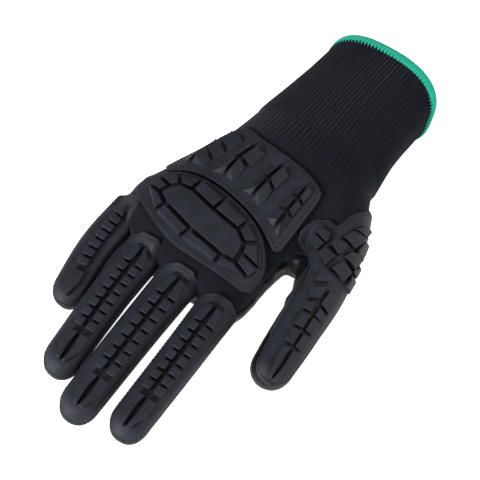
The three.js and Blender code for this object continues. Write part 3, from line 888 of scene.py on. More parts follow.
class Skin:
    """The glove's smooth outside, as one skin over hand, wrist, fingers and thumb."""

    VOXEL = 1.3
    ROUNDS = 9
    SIDES = 96
    FRONT = -37.0
    END = 80.0
    ROW = 1.6
    FLAT_TO = 54.0
    TAIL = 2.1  # how much longer than wide the thumb's root tapers off into the wrist
    TAIL_TURNS = (80, 64, 48, 32, 16)
    FINGER_SIDES = 32
    FINGER_STEP = 2.5
    REST = WALLS.fit + 1.0  # height of the flattened palm, with room for the coat under it
    EASE = 1.2  # how far above and below that height the flat runs out
    EASE_CURVE = 0.2
    REACH = 1.8  # half the width over which a guard evens out the skin

    def __init__(self) -> None:
        """Makes the skin and what finds a place on it."""
        self.bm = self.form()
        self.tree = BVHTree.FromBMesh(self.bm)

    def form(self) -> bmesh.types.BMesh:
        """Fuses hand and fingers and evens out the joins.

        Returns:
            The skin.
        """
        bm = bmesh.new()
        count = round((self.END - self.FRONT) / self.ROW)
        places = [lerp(self.FRONT, self.END, i / count) for i in range(count + 1)]
        tube(bm, [section_at(y).ring(self.SIDES) for y in places])
        for name, finger in FINGERS.items():
            rings = finger.rings(self.FINGER_SIDES, self.FINGER_STEP)
            if name == "thumb":
                rings = self.tail(finger) + rings
            tube(bm, rings)
        tube(bm, WEB.rings(self.FINGER_SIDES, self.FINGER_STEP))
        skin = fused(bm, self.VOXEL)
        soften(skin, skin.verts, self.ROUNDS)
        # The palm is flat where it lies on the floor
        for vert in skin.verts:
            low = self.REST - vert.co.z
            if vert.co.y < self.FLAT_TO and low > -self.EASE:
                vert.co.z = self.REST + self.EASE_CURVE * max(0.0, self.EASE - low) ** 2
        soften(skin, [v for v in skin.verts if v.co.z > self.REST + 0.5], 2)
        bmesh.ops.recalc_face_normals(skin, faces=skin.faces)
        skin.normal_update()
        return skin

    def tail(self, finger: Finger) -> list[list[Vector]]:
        """Makes rings behind the thumb's root that taper off into the wrist.

        Args:
            finger: the thumb.

        Returns:
            The rings.
        """
        centre, along, side, up = finger.axes(0.0)
        wide, high = finger.size(0.0)
        rings = []
        for degrees in self.TAIL_TURNS:
            turn = math.radians(degrees)
            place = centre - along * (wide * self.TAIL * math.sin(turn))
            across, rise = side * (wide * math.cos(turn)), up * (high * math.cos(turn))
            angles = [math.tau * i / self.FINGER_SIDES for i in range(self.FINGER_SIDES)]
            rings.append([place + across * math.sin(angle) + rise * math.cos(angle) for angle in angles])
        return rings

    def height(self, x: float, y: float) -> Optional[float]:
        """Height of the back of the glove over a place."""
        hit = self.tree.ray_cast(Vector((x, y, 90.0)), Vector((0, 0, -1)))[0]
        return None if hit is None else hit.z

    def over(self, x: float, y: float, lift: float) -> Vector:
        """Finds a place on the back of the glove, evened out over its neighbours.

        Args:
            x: the place across.
            y: the place along.
            lift: how far it is lifted off.

        Returns:
            The point.
        """
        reach = self.REACH
        middle = self.height(x, y) or 0.0
        steps = ((reach, 0), (-reach, 0), (0, reach), (0, -reach))
        beside = [self.height(x + dx, y + dy) for dx, dy in steps]
        east, west, north, south = (middle if z is None else z for z in beside)
        normal = Vector((west - east, south - north, 2 * reach)).normalized()
        return Vector((x, y, middle * 0.4 + (east + west + north + south) * 0.15)) + normal * lift


def wale_angle(section: Section, point: Vector) -> float:
    """Finds a point's angle round a section, from its top.

    Args:
        section: the section.
        point: the point.

    Returns:
        The angle.
    """
    across = (point.x - (section.left + section.right) / 2) / (section.right - section.left)
    up = (point.z - (section.low + section.high) / 2) / (section.high - section.low)
    return math.atan2(across, up)


@dataclass
class KnitLiner:
    """The liner of fine jersey, from fingertips to the start of the ribs."""

    skin: Skin
    cut: float = 66.0
    wales: int = 184
    settle: float = 8.0  # length over which the skin is eased onto the cuff's section
    plain_to: float = 46.0  # where the ribs begin to show
    tips: float = -30.0  # beyond it the wales run straight along the fingers

    def build(self) -> bpy.types.Object:
        """Cuts the skin open at the wrist, eases its end onto the cuff and gives it its wall.

        Returns:
            The finished piece.
        """
        bm = self.skin.bm.copy()
        end = section_at(self.cut)
        tall = (end.high - end.low) / 2
        middle = (end.high + end.low) / 2
        bmesh.ops.bisect_plane(
            bm, geom=bm.verts[:] + bm.edges[:] + bm.faces[:], dist=0.05, clear_outer=True,
            plane_co=Vector((0, self.cut, middle)), plane_no=Vector((0, 1, -end.lean / tall)).normalized(),
        )
        for vert in bm.verts:
            share = smoothstep(self.cut - self.settle, self.cut - 1, vert.co.y)
            if share > 0:
                vert.co = vert.co.lerp(self.on_section(vert.co), share)
        knit = bm.verts.layers.float_vector.new("knit")
        for vert in bm.verts:
            y = vert.co.y
            around = vert.co.x
            if y > self.tips:
                around = wale_angle(section_at(y), vert.co) / math.tau * self.wales
            vert[knit] = Vector((around, y, smoothstep(self.plain_to, self.cut, y)))
        shade_smooth(bm)
        piece = to_piece("jersey_liner", bm, Finish.KNIT, ["knit_liner"])
        walled(piece, WALLS.knit)
        return piece

    @staticmethod
    def on_section(point: Vector) -> Vector:
        """Moves a point onto the section through it.

        Args:
            point: the point.

        Returns:
            The place on the section.
        """
        upright = section_at(point.y)
        up = (point.z - (upright.low + upright.high) / 2) / ((upright.high - upright.low) / 2)
        section = section_at(point.y - upright.lean * up)
        wide, tall = (section.right - section.left) / 2, (section.high - section.low) / 2
        middle = Vector(((section.left + section.right) / 2, (section.low + section.high) / 2))
        across, up = (point.x - middle.x) / wide, (point.z - middle.y) / tall
        power = Section.LOWER_POWER if up < 0 else Section.UPPER_POWER
        radius = (abs(across) ** power + abs(up) ** power) ** (1 / power)
        return Vector((middle.x + wide * across / radius, point.y, middle.y + tall * up / radius))


def even_angles(section: Section, count: int) -> list[float]:
    """Parts a section's outline into equal lengths, from its underside.

    Args:
        section: the section.
        count: the number of parts.

    Returns:
        The angles.
    """
    fine = 1440
    angles = [-math.pi / 2 + math.tau * i / fine for i in range(fine + 1)]
    points = [section.point(angle) for angle in angles]
    runs = [0.0]
    for a, b in zip(points, points[1:]):
        runs.append(runs[-1] + (b - a).length)
    even, k = [], 0
    for i in range(count):
        target = runs[-1] * i / count
        while runs[k + 1] < target:
            k += 1
        even.append(lerp(angles[k], angles[k + 1], (target - runs[k]) / (runs[k + 1] - runs[k])))
    return even


@dataclass
class RibbedCuff:
    """The cuff in rib knit: raised wales with narrow channels, deeper towards the rim."""

    start: float = 66.0
    ribs: int = 92
    rows: int = 44
    height: float = 0.75
    deepen: tuple[float, float] = (0.8, 1.25)  # the ribs' height at the wrist and at the rim, as shares
    waves: tuple[float, float] = (26.0, 0.5)  # length and height of the cloth's soft waves
    profile: tuple[float, ...] = (0.0, 0.55, 0.92, 1.0, 0.92, 0.55)
    wales_per_rib: int = 2

    def build(self) -> bpy.types.Object:
        """Lofts the ribs and gives the cloth its wall.

        Returns:
            The finished piece.
        """
        bm = bmesh.new()
        per_rib = len(self.profile)
        count = self.ribs * per_rib
        angles = even_angles(section_at(95.0), count)
        rings = []
        for r in range(self.rows + 1):
            y = lerp(self.start, RIM_Y - 0.4, r / self.rows)
            section = section_at(y)
            fade = smoothstep(self.start - 1, self.start + 3, y) * lerp(*self.deepen, smoothstep(98, 112, y))
            ring = []
            for i, angle in enumerate(angles):
                rib = self.height * fade * self.profile[i % per_rib]
                bare = section.point(angle)
                wave = ripple(bare, *self.waves) * smoothstep(self.start, self.start + 10, y)
                ring.append(section.point(angle, rib + wave * (1 - smoothstep(108, 118, y))))
            rings.append(ring)
        tube(bm, rings, capped=False)
        bmesh.ops.recalc_face_normals(bm, faces=bm.faces)
        middle = sum((vert.co for vert in bm.verts), Vector()) / len(bm.verts)
        if sum(face.normal.dot(face.calc_center_median() - middle) for face in bm.faces) < 0:
            bmesh.ops.reverse_faces(bm, faces=bm.faces)
        knit = bm.verts.layers.float_vector.new("knit")
        for vert in bm.verts:
            around = wale_angle(section_at(vert.co.y), vert.co) / math.tau * self.ribs * self.wales_per_rib
            vert[knit] = Vector((around, vert.co.y, 0))
        shade_smooth(bm, 80)
        piece = to_piece("ribbed_cuff", bm, Finish.KNIT, ["knit_liner"])
        walled(piece, WALLS.knit)
        return piece


@dataclass
class DippedCoat:
    """The nitrile over palm, finger sides and thumb web, feathered out at its edge."""

    skin: Skin
    edge: Sequence[tuple[float, float]] = ((-140, 14), (-104, 14), (-36, 19.5), (-24, 16), (47, 16))
    web: Flat = ((24.8, -14), (36, -10), (39, 5), (35, 12.5), (26, 10))
    web_top: float = 27.0
    end: float = 47.0
    feather: float = 3.0  # width over which the dip's edge thins out
    rise: tuple[float, float] = (0.15, 0.95)  # its height over the skin at the edge and inside it
    folds: float = 0.9  # height of the folds in the thumb's web

    def depth(self, point: Vector) -> float:
        """Measures how far a place lies inside the dip's edge.

        Args:
            point: the place.

        Returns:
            The distance, positive inside.
        """
        y = clamp(point.y, self.edge[0][0], self.edge[-1][0])
        (ya, za), (yb, zb) = next(pair for pair in zip(self.edge, self.edge[1:]) if pair[1][0] >= y)
        lower = min(lerp(za, zb, (y - ya) / (yb - ya)) - point.z, self.end - point.y)
        web = min(inside_distance(self.web, point.x, point.y), self.web_top - point.z)
        return max(lower, web) + ripple(point, 9, 0.9, 3.0)

    def build(self) -> bpy.types.Object:
        """Cuts the dip out of the skin, smooths its edge and raises it over the knit.

        Returns:
            The finished piece.
        """
        bm = self.skin.bm.copy()
        depths = {vert: self.depth(vert.co) for vert in bm.verts}
        bare = [face for face in bm.faces if sum(depths[v] for v in face.verts) < 0]
        bmesh.ops.delete(bm, geom=bare, context="FACES")
        bm.verts.ensure_lookup_table()
        rim = [vert for vert in bm.verts if vert.is_boundary]
        soften(bm, rim, 6)
        normals = {vert: vert.normal.copy() for vert in bm.verts}
        for vert in bm.verts:
            depth = self.depth(vert.co)
            web = smoothstep(-14, 0, inside_distance(self.web, vert.co.x, vert.co.y))
            web *= smoothstep(4, 12, vert.co.z)
            rise = lerp(*self.rise, smoothstep(-0.5, self.feather, depth))
            rise += ripple(vert.co, 5.5, self.folds * web + 0.12, 8.0)
            vert.co += normals[vert] * rise
            vert.co.z = max(vert.co.z, 0.0)
        shade_smooth(bm, 80)
        piece = to_piece("dipped_coat", bm, Finish.NITRILE, ["nitrile_coating"])
        walled(piece, WALLS.coat)
        return piece


# Guards


@dataclass
class Guard:
    """A moulded guard, built flat in millimetres, cut fine enough to bend, and laid on the glove."""

    name: str
    surface: Surface
    slice_mm: float = 2.0
    bm: bmesh.types.BMesh = field(default_factory=bmesh.new)
    seams: list[list[Vector]] = field(default_factory=list)

    SEAM_INSET = 2.0
    EDGE = 0.4
    ROOT = 0.8  # how deep a block stands in the sheet
    STITCH_PITCH = 2.0
    STITCH = 1.25
    THREAD = 0.6
    STITCH_SUNK = 0.08  # how deep the middle of a stitch lies in the sheet

    def absorb(self, part: bmesh.types.BMesh) -> None:
        """Takes a finished part in.

        Args:
            part: the part; it is freed.
        """
        bmesh.ops.recalc_face_normals(part, faces=part.faces)
        mesh = bpy.data.meshes.new("part")
        part.to_mesh(mesh)
        part.free()
        self.bm.from_mesh(mesh)
        bpy.data.meshes.remove(mesh)

    def plate(self, outline: Sequence[Vector]) -> None:
        """Makes the sheet under the blocks, with a softened edge and a seam inside it.

        Args:
            outline: its outline.
        """
        part = bmesh.new()
        foot = part.faces.new([part.verts.new((p.x, p.y, WALLS.sunk)) for p in outline])
        raised = bmesh.ops.extrude_face_region(part, geom=[foot])["geom"]
        top = next(item for item in raised if isinstance(item, bmesh.types.BMFace))
        for vert in top.verts:
            vert.co.z = WALLS.lift
        part.normal_update()
        if top.normal.z < 0:
            bmesh.ops.reverse_faces(part, faces=part.faces)
        bmesh.ops.recalc_face_normals(part, faces=part.faces)
        bmesh.ops.bevel(
            part, geom=list(top.edges), offset=self.EDGE, offset_type="OFFSET", segments=2, profile=0.5,
            affect="EDGES", material=-1,
        )
        self.seams.append(pulled_in(outline, self.SEAM_INSET))
        self.absorb(part)

    def block(self, foot: Flat, top: Flat, corner: float = 0.45, bevel: float = 0.28,
              heights: Optional[Sequence[float]] = None) -> None:
        """Makes a raised block with sloping sides.

        Args:
            foot: its corners on the sheet.
            top: the same corners on its top.
            corner: how far its upright edges are rounded.
            bevel: how far its top edges are rounded.
            heights: the corners' heights as shares of a block's height.
        """
        part = bmesh.new()
        low, high = rounded(foot, corner, gentle=0.0), rounded(top, corner, gentle=0.0)
        base = part.faces.new([part.verts.new((p.x, p.y, WALLS.lift - self.ROOT)) for p in low])
        raised = bmesh.ops.extrude_face_region(part, geom=[base])["geom"]
        lid = next(item for item in raised if isinstance(item, bmesh.types.BMFace))
        shares = [share for share in heights or [1.0] * len(foot) for _ in range(len(low) // len(foot))]
        where = {(round(a.x, 4), round(a.y, 4)): (b, share) for a, b, share in zip(low, high, shares)}
        for vert in lid.verts:
            place, share = where[(round(vert.co.x, 4), round(vert.co.y, 4))]
            vert.co = Vector((place.x, place.y, WALLS.lift + WALLS.block * share))
        bmesh.ops.recalc_face_normals(part, faces=part.faces)
        bmesh.ops.bevel(
            part, geom=list(lid.edges), offset=bevel, offset_type="OFFSET", segments=3, profile=0.5,
            affect="EDGES", material=-1,
        )
        self.absorb(part)

    def cut(self) -> None:
        """Slices the flat guard both ways, so that it can bend."""
        low = [min(v.co[k] for v in self.bm.verts) for k in (0, 1)]
        high = [max(v.co[k] for v in self.bm.verts) for k in (0, 1)]
        for k in (0, 1):
            normal = Vector((1, 0, 0)) if k == 0 else Vector((0, 1, 0))
            count = int((high[k] - low[k]) / self.slice_mm)
            for i in range(1, count + 1):
                place = lerp(low[k], high[k], i / (count + 1))
                bmesh.ops.bisect_plane(
                    self.bm, geom=self.bm.verts[:] + self.bm.edges[:] + self.bm.faces[:], dist=0.02,
                    plane_co=normal * place, plane_no=normal,
                )

    def lay(self) -> bpy.types.Object:
        """Bends the guard onto the glove and finishes it.

        Returns:
            The finished piece.
        """
        self.cut()
        for vert in self.bm.verts:
            vert.co = self.surface(vert.co.x, vert.co.y, vert.co.z)
        if self.bm.calc_volume(signed=True) < 0:
            bmesh.ops.reverse_faces(self.bm, faces=self.bm.faces)
        shade_smooth(self.bm, 42)
        piece = to_piece(f"moulded_{self.name}", self.bm, Finish.RUBBER, [self.name])
        flat_shaded(piece)
        return piece

    def stitch(self) -> Optional[bpy.types.Object]:
        """Sews lock stitches along the seams.

        Returns:
            The stitches' piece, or None where there is no seam.
        """
        if not self.seams:
            return None
        bm = bmesh.new()
        level = WALLS.lift - self.STITCH_SUNK
        for seam in self.seams:
            for place, along in walk(seam, self.STITCH_PITCH):
                here = self.surface(place.x, place.y, level)
                ahead = self.surface(place.x + along.x, place.y + along.y, level)
                up = (self.surface(place.x, place.y, level + 1) - here).normalized()
                forward = (ahead - here).normalized()
                side = up.cross(forward).normalized()
                half, thick = self.STITCH / 2, self.THREAD / 2
                turn = Matrix((forward * half, side * thick, up * thick)).transposed().to_4x4()
                bmesh.ops.create_uvsphere(
                    bm, u_segments=6, v_segments=4, radius=1, matrix=Matrix.Translation(here) @ turn
                )
        shade_smooth(bm, 180)
        return to_piece(f"{self.name}_stitching", bm, Finish.BLACK)


class BackGuards:
    """The two large guards on the back of the hand."""

    GROOVE = 1.6
    # Widths of the blocks' slopes: the knuckle blocks' outer ones, their others, and the centre plate's
    SLOPE = 1.5
    RING_SLOPE = 0.25
    CENTRE_SLOPE = 0.5
    # The same for the wrist's blocks, for each edge from the groove's round by the block's back
    WEDGE_SLOPES = (0.2, 0.3, 0.9, 0.2)
    EDGE_SLOPES = (0.2, 0.3, 0.4, 0.3)
    BLOCK_SLOPES = (0.2, 0.3, 0.9, 0.3)
    KNUCKLE_OUTLINE = (
        (-58.5, -8), (-57, -2.5), (-50.5, 5.3), (-42, 9.8), (-31, 12), (-19, 12), (-4, 9.7), (7, 6.6),
        (15.4, 1.2), (21.2, -6), (23, -11), (23, -21), (19.9, -24.3), (-14, -26), (-26, -25), (-38.7, -20.4),
        (-55, -13),
    )
    # Outer and inner end of each groove across the ring of blocks
    KNUCKLE_GROOVES = (
        ((-50.8, -5.8), (-43.6, -7.3)), ((-49.3, 0), (-40.8, -1.9)), ((-40.6, 5.8), (-37.4, 1.7)),
        ((-29.6, 9), (-30.7, 2.8)), ((-13.6, 6.8), (-15, -0.2)), ((2.5, 4), (1.2, -1.8)),
        ((12, -1.5), (7.8, -5.4)), ((18.7, -11), (9, -10)), ((17.4, -17.8), (9.5, -16)),
        ((2.2, -21.3), (2, -17.2)), ((-19.5, -20.4), (-18, -15.2)), ((-38.6, -15.8), (-36.8, -10.9)),
    )
    WRIST_OUTLINE = (
        (-53.5, 8.6), (-49.6, 20), (-44.8, 32), (-39.4, 43), (-34.5, 49.5), (-29, 50.3), (-19.5, 47.4),
        (-1.4, 46.3), (14.3, 44.3), (22.5, 40.3), (23.4, 36), (23, 20.4), (22.4, 4), (20, 1.4), (6.7, 8.3),
        (-7, 11.6), (-19.8, 13.4), (-31.3, 13.5), (-42.1, 11.6), (-50, 7),
    )
    # Corners from the front of the column's middle groove, round by the block's back
    WRIST_WEDGES = (
        ((-42.7, 15.7), (-41, 27.6), (-33.6, 22.3), (-35.3, 17)),
        ((-24.2, 17.7), (-23, 31.6), (-26.9, 28.8), (-31, 16.7)),
        ((-22.6, 18), (-21.6, 31), (-16.1, 28.6), (-16.2, 17.6)),
        ((-5.3, 16.2), (-3.8, 29.8), (-7.2, 29.3), (-11.4, 17.1)),
        ((-3.6, 15.6), (-2.3, 28.9), (3, 25.2), (3.7, 13.3)),
        ((13.2, 10), (13.3, 21), (8.9, 19.2), (7.2, 12.6)),
        ((14.6, 9.6), (14.7, 20.9), (18.3, 19), (19.1, 7.3)),
    )
    WRIST_BLOCKS = (
        ((-40.6, 28.8), (-38.2, 36), (-30.7, 30.5), (-33.3, 23.8)),
        ((-37.4, 37), (-33.5, 44.6), (-26.5, 41.2), (-29.9, 32)),
        ((-23.2, 33), (-20, 42.6), (-25.1, 38.6), (-27.2, 30.4)),
        ((-21.2, 32.6), (-18.4, 41.8), (-11.6, 40.6), (-14, 30.2)),
        ((-4, 31.2), (-1.8, 41), (-6.7, 37), (-8, 30.8)),
        ((-2.3, 30.4), (-0.5, 40.3), (5.1, 36.8), (3.6, 26.4)),
        ((13.2, 22.2), (13.8, 29.9), (9.8, 28.5), (8.4, 20.7)),
        ((14.6, 22.2), (14.9, 30), (18.9, 28), (18.6, 20.4)),
        ((13.7, 31.2), (14.1, 38.3), (11.2, 37), (9.4, 29.9)),
        ((14.9, 31.2), (15.3, 38.3), (19.3, 38.1), (19.2, 29.2)),
    )
    # The same beside the first column, where the guard turns down over the hand's edge
    WRIST_EDGE = (
        ((-44.1, 15.8), (-42.4, 27.8), (-44.9, 27), (-46.8, 16.6)),
        ((-42, 29), (-39.6, 36.6), (-41.9, 36.2), (-44.3, 28.8)),
        ((-38.9, 37.7), (-35.2, 45), (-37.5, 44.4), (-41.1, 37.3)),
    )
    # Heights at the corners of wedges and blocks, as shares
    EDGE_FALL = (0.5, 0.5, 0.1, 0.1)
    WEDGE_FALL = (1.0, 1.0, 0.42, 0.08)
    BLOCK_FALL = (1.0, 1.0, 0.42, 0.42)
    TIP = 0.46  # how far back along the groove a wedge reaches its height

    def __init__(self, skin: Skin) -> None:
        """Takes the skin that the guards lie on."""
        self.skin = skin

    def knuckle(self) -> Guard:
        """Makes the guard over the knuckles: a bare centre plate in a ring of blocks.

        Returns:
            The guard.
        """
        guard = Guard("knuckle_guard", self.skin.over)
        guard.plate(rounded(self.KNUCKLE_OUTLINE))
        grooves = self.KNUCKLE_GROOVES
        half = self.GROOVE / 2
        centre = inset([inner for _, inner in grooves], half)
        guard.block(centre, inset(centre, self.CENTRE_SLOPE))
        for (outer, inner), (next_outer, next_inner) in zip(grooves, grooves[1:] + grooves[:1]):
            foot = inset([inner, outer, next_outer, next_inner], (half, -self.SLOPE, half, half))
            guard.block(foot, inset(foot, (self.RING_SLOPE, self.SLOPE, self.RING_SLOPE, self.RING_SLOPE)))
        return guard

    def wrist(self) -> Guard:
        """Makes the guard over the back of the hand: four columns of chevron blocks.

        Returns:
            The guard.
        """
        guard = Guard("wrist_guard", self.skin.over)
        guard.plate(rounded(self.WRIST_OUTLINE))
        for foot in self.WRIST_WEDGES:
            top = inset(foot, self.WEDGE_SLOPES)
            front = Vector(top[0]).lerp(Vector(top[1]), self.TIP)
            guard.block(foot, [tuple(front)] + top[1:], heights=self.WEDGE_FALL)
        for foot in self.WRIST_EDGE:
            guard.block(foot, inset(foot, self.EDGE_SLOPES), heights=self.EDGE_FALL)
        for foot in self.WRIST_BLOCKS:
            guard.block(foot, inset(foot, self.BLOCK_SLOPES), heights=self.BLOCK_FALL)
        return guard


@dataclass(frozen=True)
class FingerPlan:
    """Sizes of one finger's guard."""

    start: float  # along the finger
    spread: float  # degrees from the finger's back to the sheet's edge
    wedge: float  # length of the first pair, which rises out of the sheet
    pairs: int
    pitch: float
    reach: float  # from the middle groove to the blocks' outer edges
    nail: float  # length of the last pair
    single: bool = False  # one row of blocks in place of pairs

    GROOVE = 1.2
    GAP = 0.8  # between blocks, along the finger
    MARGIN = 4.0  # between the sheet's start and the wedges
    BARE = 2.0  # between the last pair and the nail pair
    ROUND, FLATNESS = 2.0, 3.6  # powers of the sections under and on top of the moulded sheet
    PILLOW = (1.0, 0.55)  # rounding of a finger block's upright and top edges
    # Turn round the tip and share of the spread, at which the sheet's edge runs level
    TIP_EDGE = ((0.5, 0.9), (0.8, 0.8), (1.0, 0.65), (1.12, 0.45), (1.18, 0.15))
    WEDGE_SLOPES = (0.3, 0.35, 0.8, 3.5)
    SQUARE_SLOPES = (0.3, 0.3, 0.7, 0.3)
    NAIL_SLOPE = 0.4
    NAIL_PILLOW = (0.5, 0.35)

    def surface(self, finger: Finger, skin: Skin) -> Surface:
        """Finds places on the finger, eased onto the back of the hand at the guard's start.

        Args:
            finger: the finger.
            skin: the skin that it is part of.

        Returns:
            What finds a place from distance along, distance across and lift.
        """
        turn = math.radians(finger.turn)

        def place(s: float, across: float, lift: float) -> Vector:
            """A place on finger or hand."""
            angle = across / (finger.size(s)[0] + WALLS.lift)
            raised = clamp((lift - WALLS.sunk) / (WALLS.lift - WALLS.sunk))
            raised *= 1 - smoothstep(finger.length - 4, finger.length + 5, s)
            point = finger.point(s, turn + angle, lift, lerp(self.ROUND, self.FLATNESS, raised))
            share = 1 - smoothstep(self.start + 4, self.start + 24, s)
            share *= 1 - smoothstep(0.6, 1.15, abs(angle))
            if share > 0:
                bare = finger.point(s, turn + angle)
                point = point.lerp(skin.over(bare.x, bare.y, lift), share)
            return point

        return place

    def outline(self, finger: Finger) -> list[Vector]:
        """Draws the sheet's outline.

        Args:
            finger: the finger.

        Returns:
            The outline as distances along and across.
        """
        length = finger.length
        wide = finger.size(length)[0]
        rows = [(self.start, 0.4), (self.start + 4, 0.93), (self.start + 9, 1), (length - 2, 0.96)]
        rows += [(length + wide * turn, share) for turn, share in self.TIP_EDGE]

        def across(s: float, share: float) -> float:
            """Distance across at a share of the spread."""
            return math.radians(self.spread) * share * (finger.size(s)[0] + WALLS.lift)

        right = [(s, across(s, share)) for s, share in rows]
        left = [(s, -w) for s, w in reversed(right)]
        return rounded(right + left, 1.2, gentle=28.0)

    def build(self, name: str, finger: Finger, skin: Skin) -> Guard:
        """Makes the guard: wedges, pairs of square blocks and a long nail pair.

        Args:
            name: the finger's name.
            finger: the finger.
            skin: the skin that it is part of.

        Returns:
            The guard.
        """
        guard = Guard(f"{name}_guard", self.surface(finger, skin), slice_mm=1.6)
        guard.plate(self.outline(finger))
        for side in (1,) if self.single else (-1, 1):
            groove = -self.reach if self.single else side * self.GROOVE / 2
            outer = side * self.reach
            s = self.start + self.MARGIN
            end = s + self.wedge - self.GAP
            foot = [(s, groove * 0.4), (end, groove * 1.6), (end, outer * 1.15), (s, outer * 0.75)]
            guard.block(foot, inset(foot, self.WEDGE_SLOPES), *self.PILLOW)
            s += self.wedge
            for _ in range(self.pairs):
                end = s + self.pitch - self.GAP
                foot = [(s, groove), (end, groove), (end, outer), (s, outer)]
                guard.block(foot, inset(foot, self.SQUARE_SLOPES), *self.PILLOW)
                s += self.pitch
            s += self.BARE
            tip, half = s + self.nail, s + self.nail * 0.5
            if self.single:
                foot = [
                    (s, -outer), (half, -outer * 1.1), (tip, -outer * 0.5),
                    (tip, outer * 0.5), (half, outer * 1.1), (s, outer),
                ]
            else:
                third = s + self.nail * 0.35
                foot = [
                    (s, side * 0.2), (third, side * 0.75), (half, side * 0.8), (tip, side * 0.15),
                    (tip, outer * 0.45), (half, outer * 0.95), (s, outer * 0.9),
                ]
            guard.block(foot, inset(foot, self.NAIL_SLOPE), *self.NAIL_PILLOW)
        return guard


FINGER_PLANS = {
    "index": FingerPlan(23.6, 72, 14.4, 7, 5.9, 5.2, 17),
    "middle": FingerPlan(22, 72, 15.6, 7, 6.75, 5.3, 17),
    "ring": FingerPlan(18.8, 72, 14.4, 7, 5.75, 5.2, 16),
    "little": FingerPlan(16.5, 68, 10, 6, 5.5, 2.9, 14, True),
}


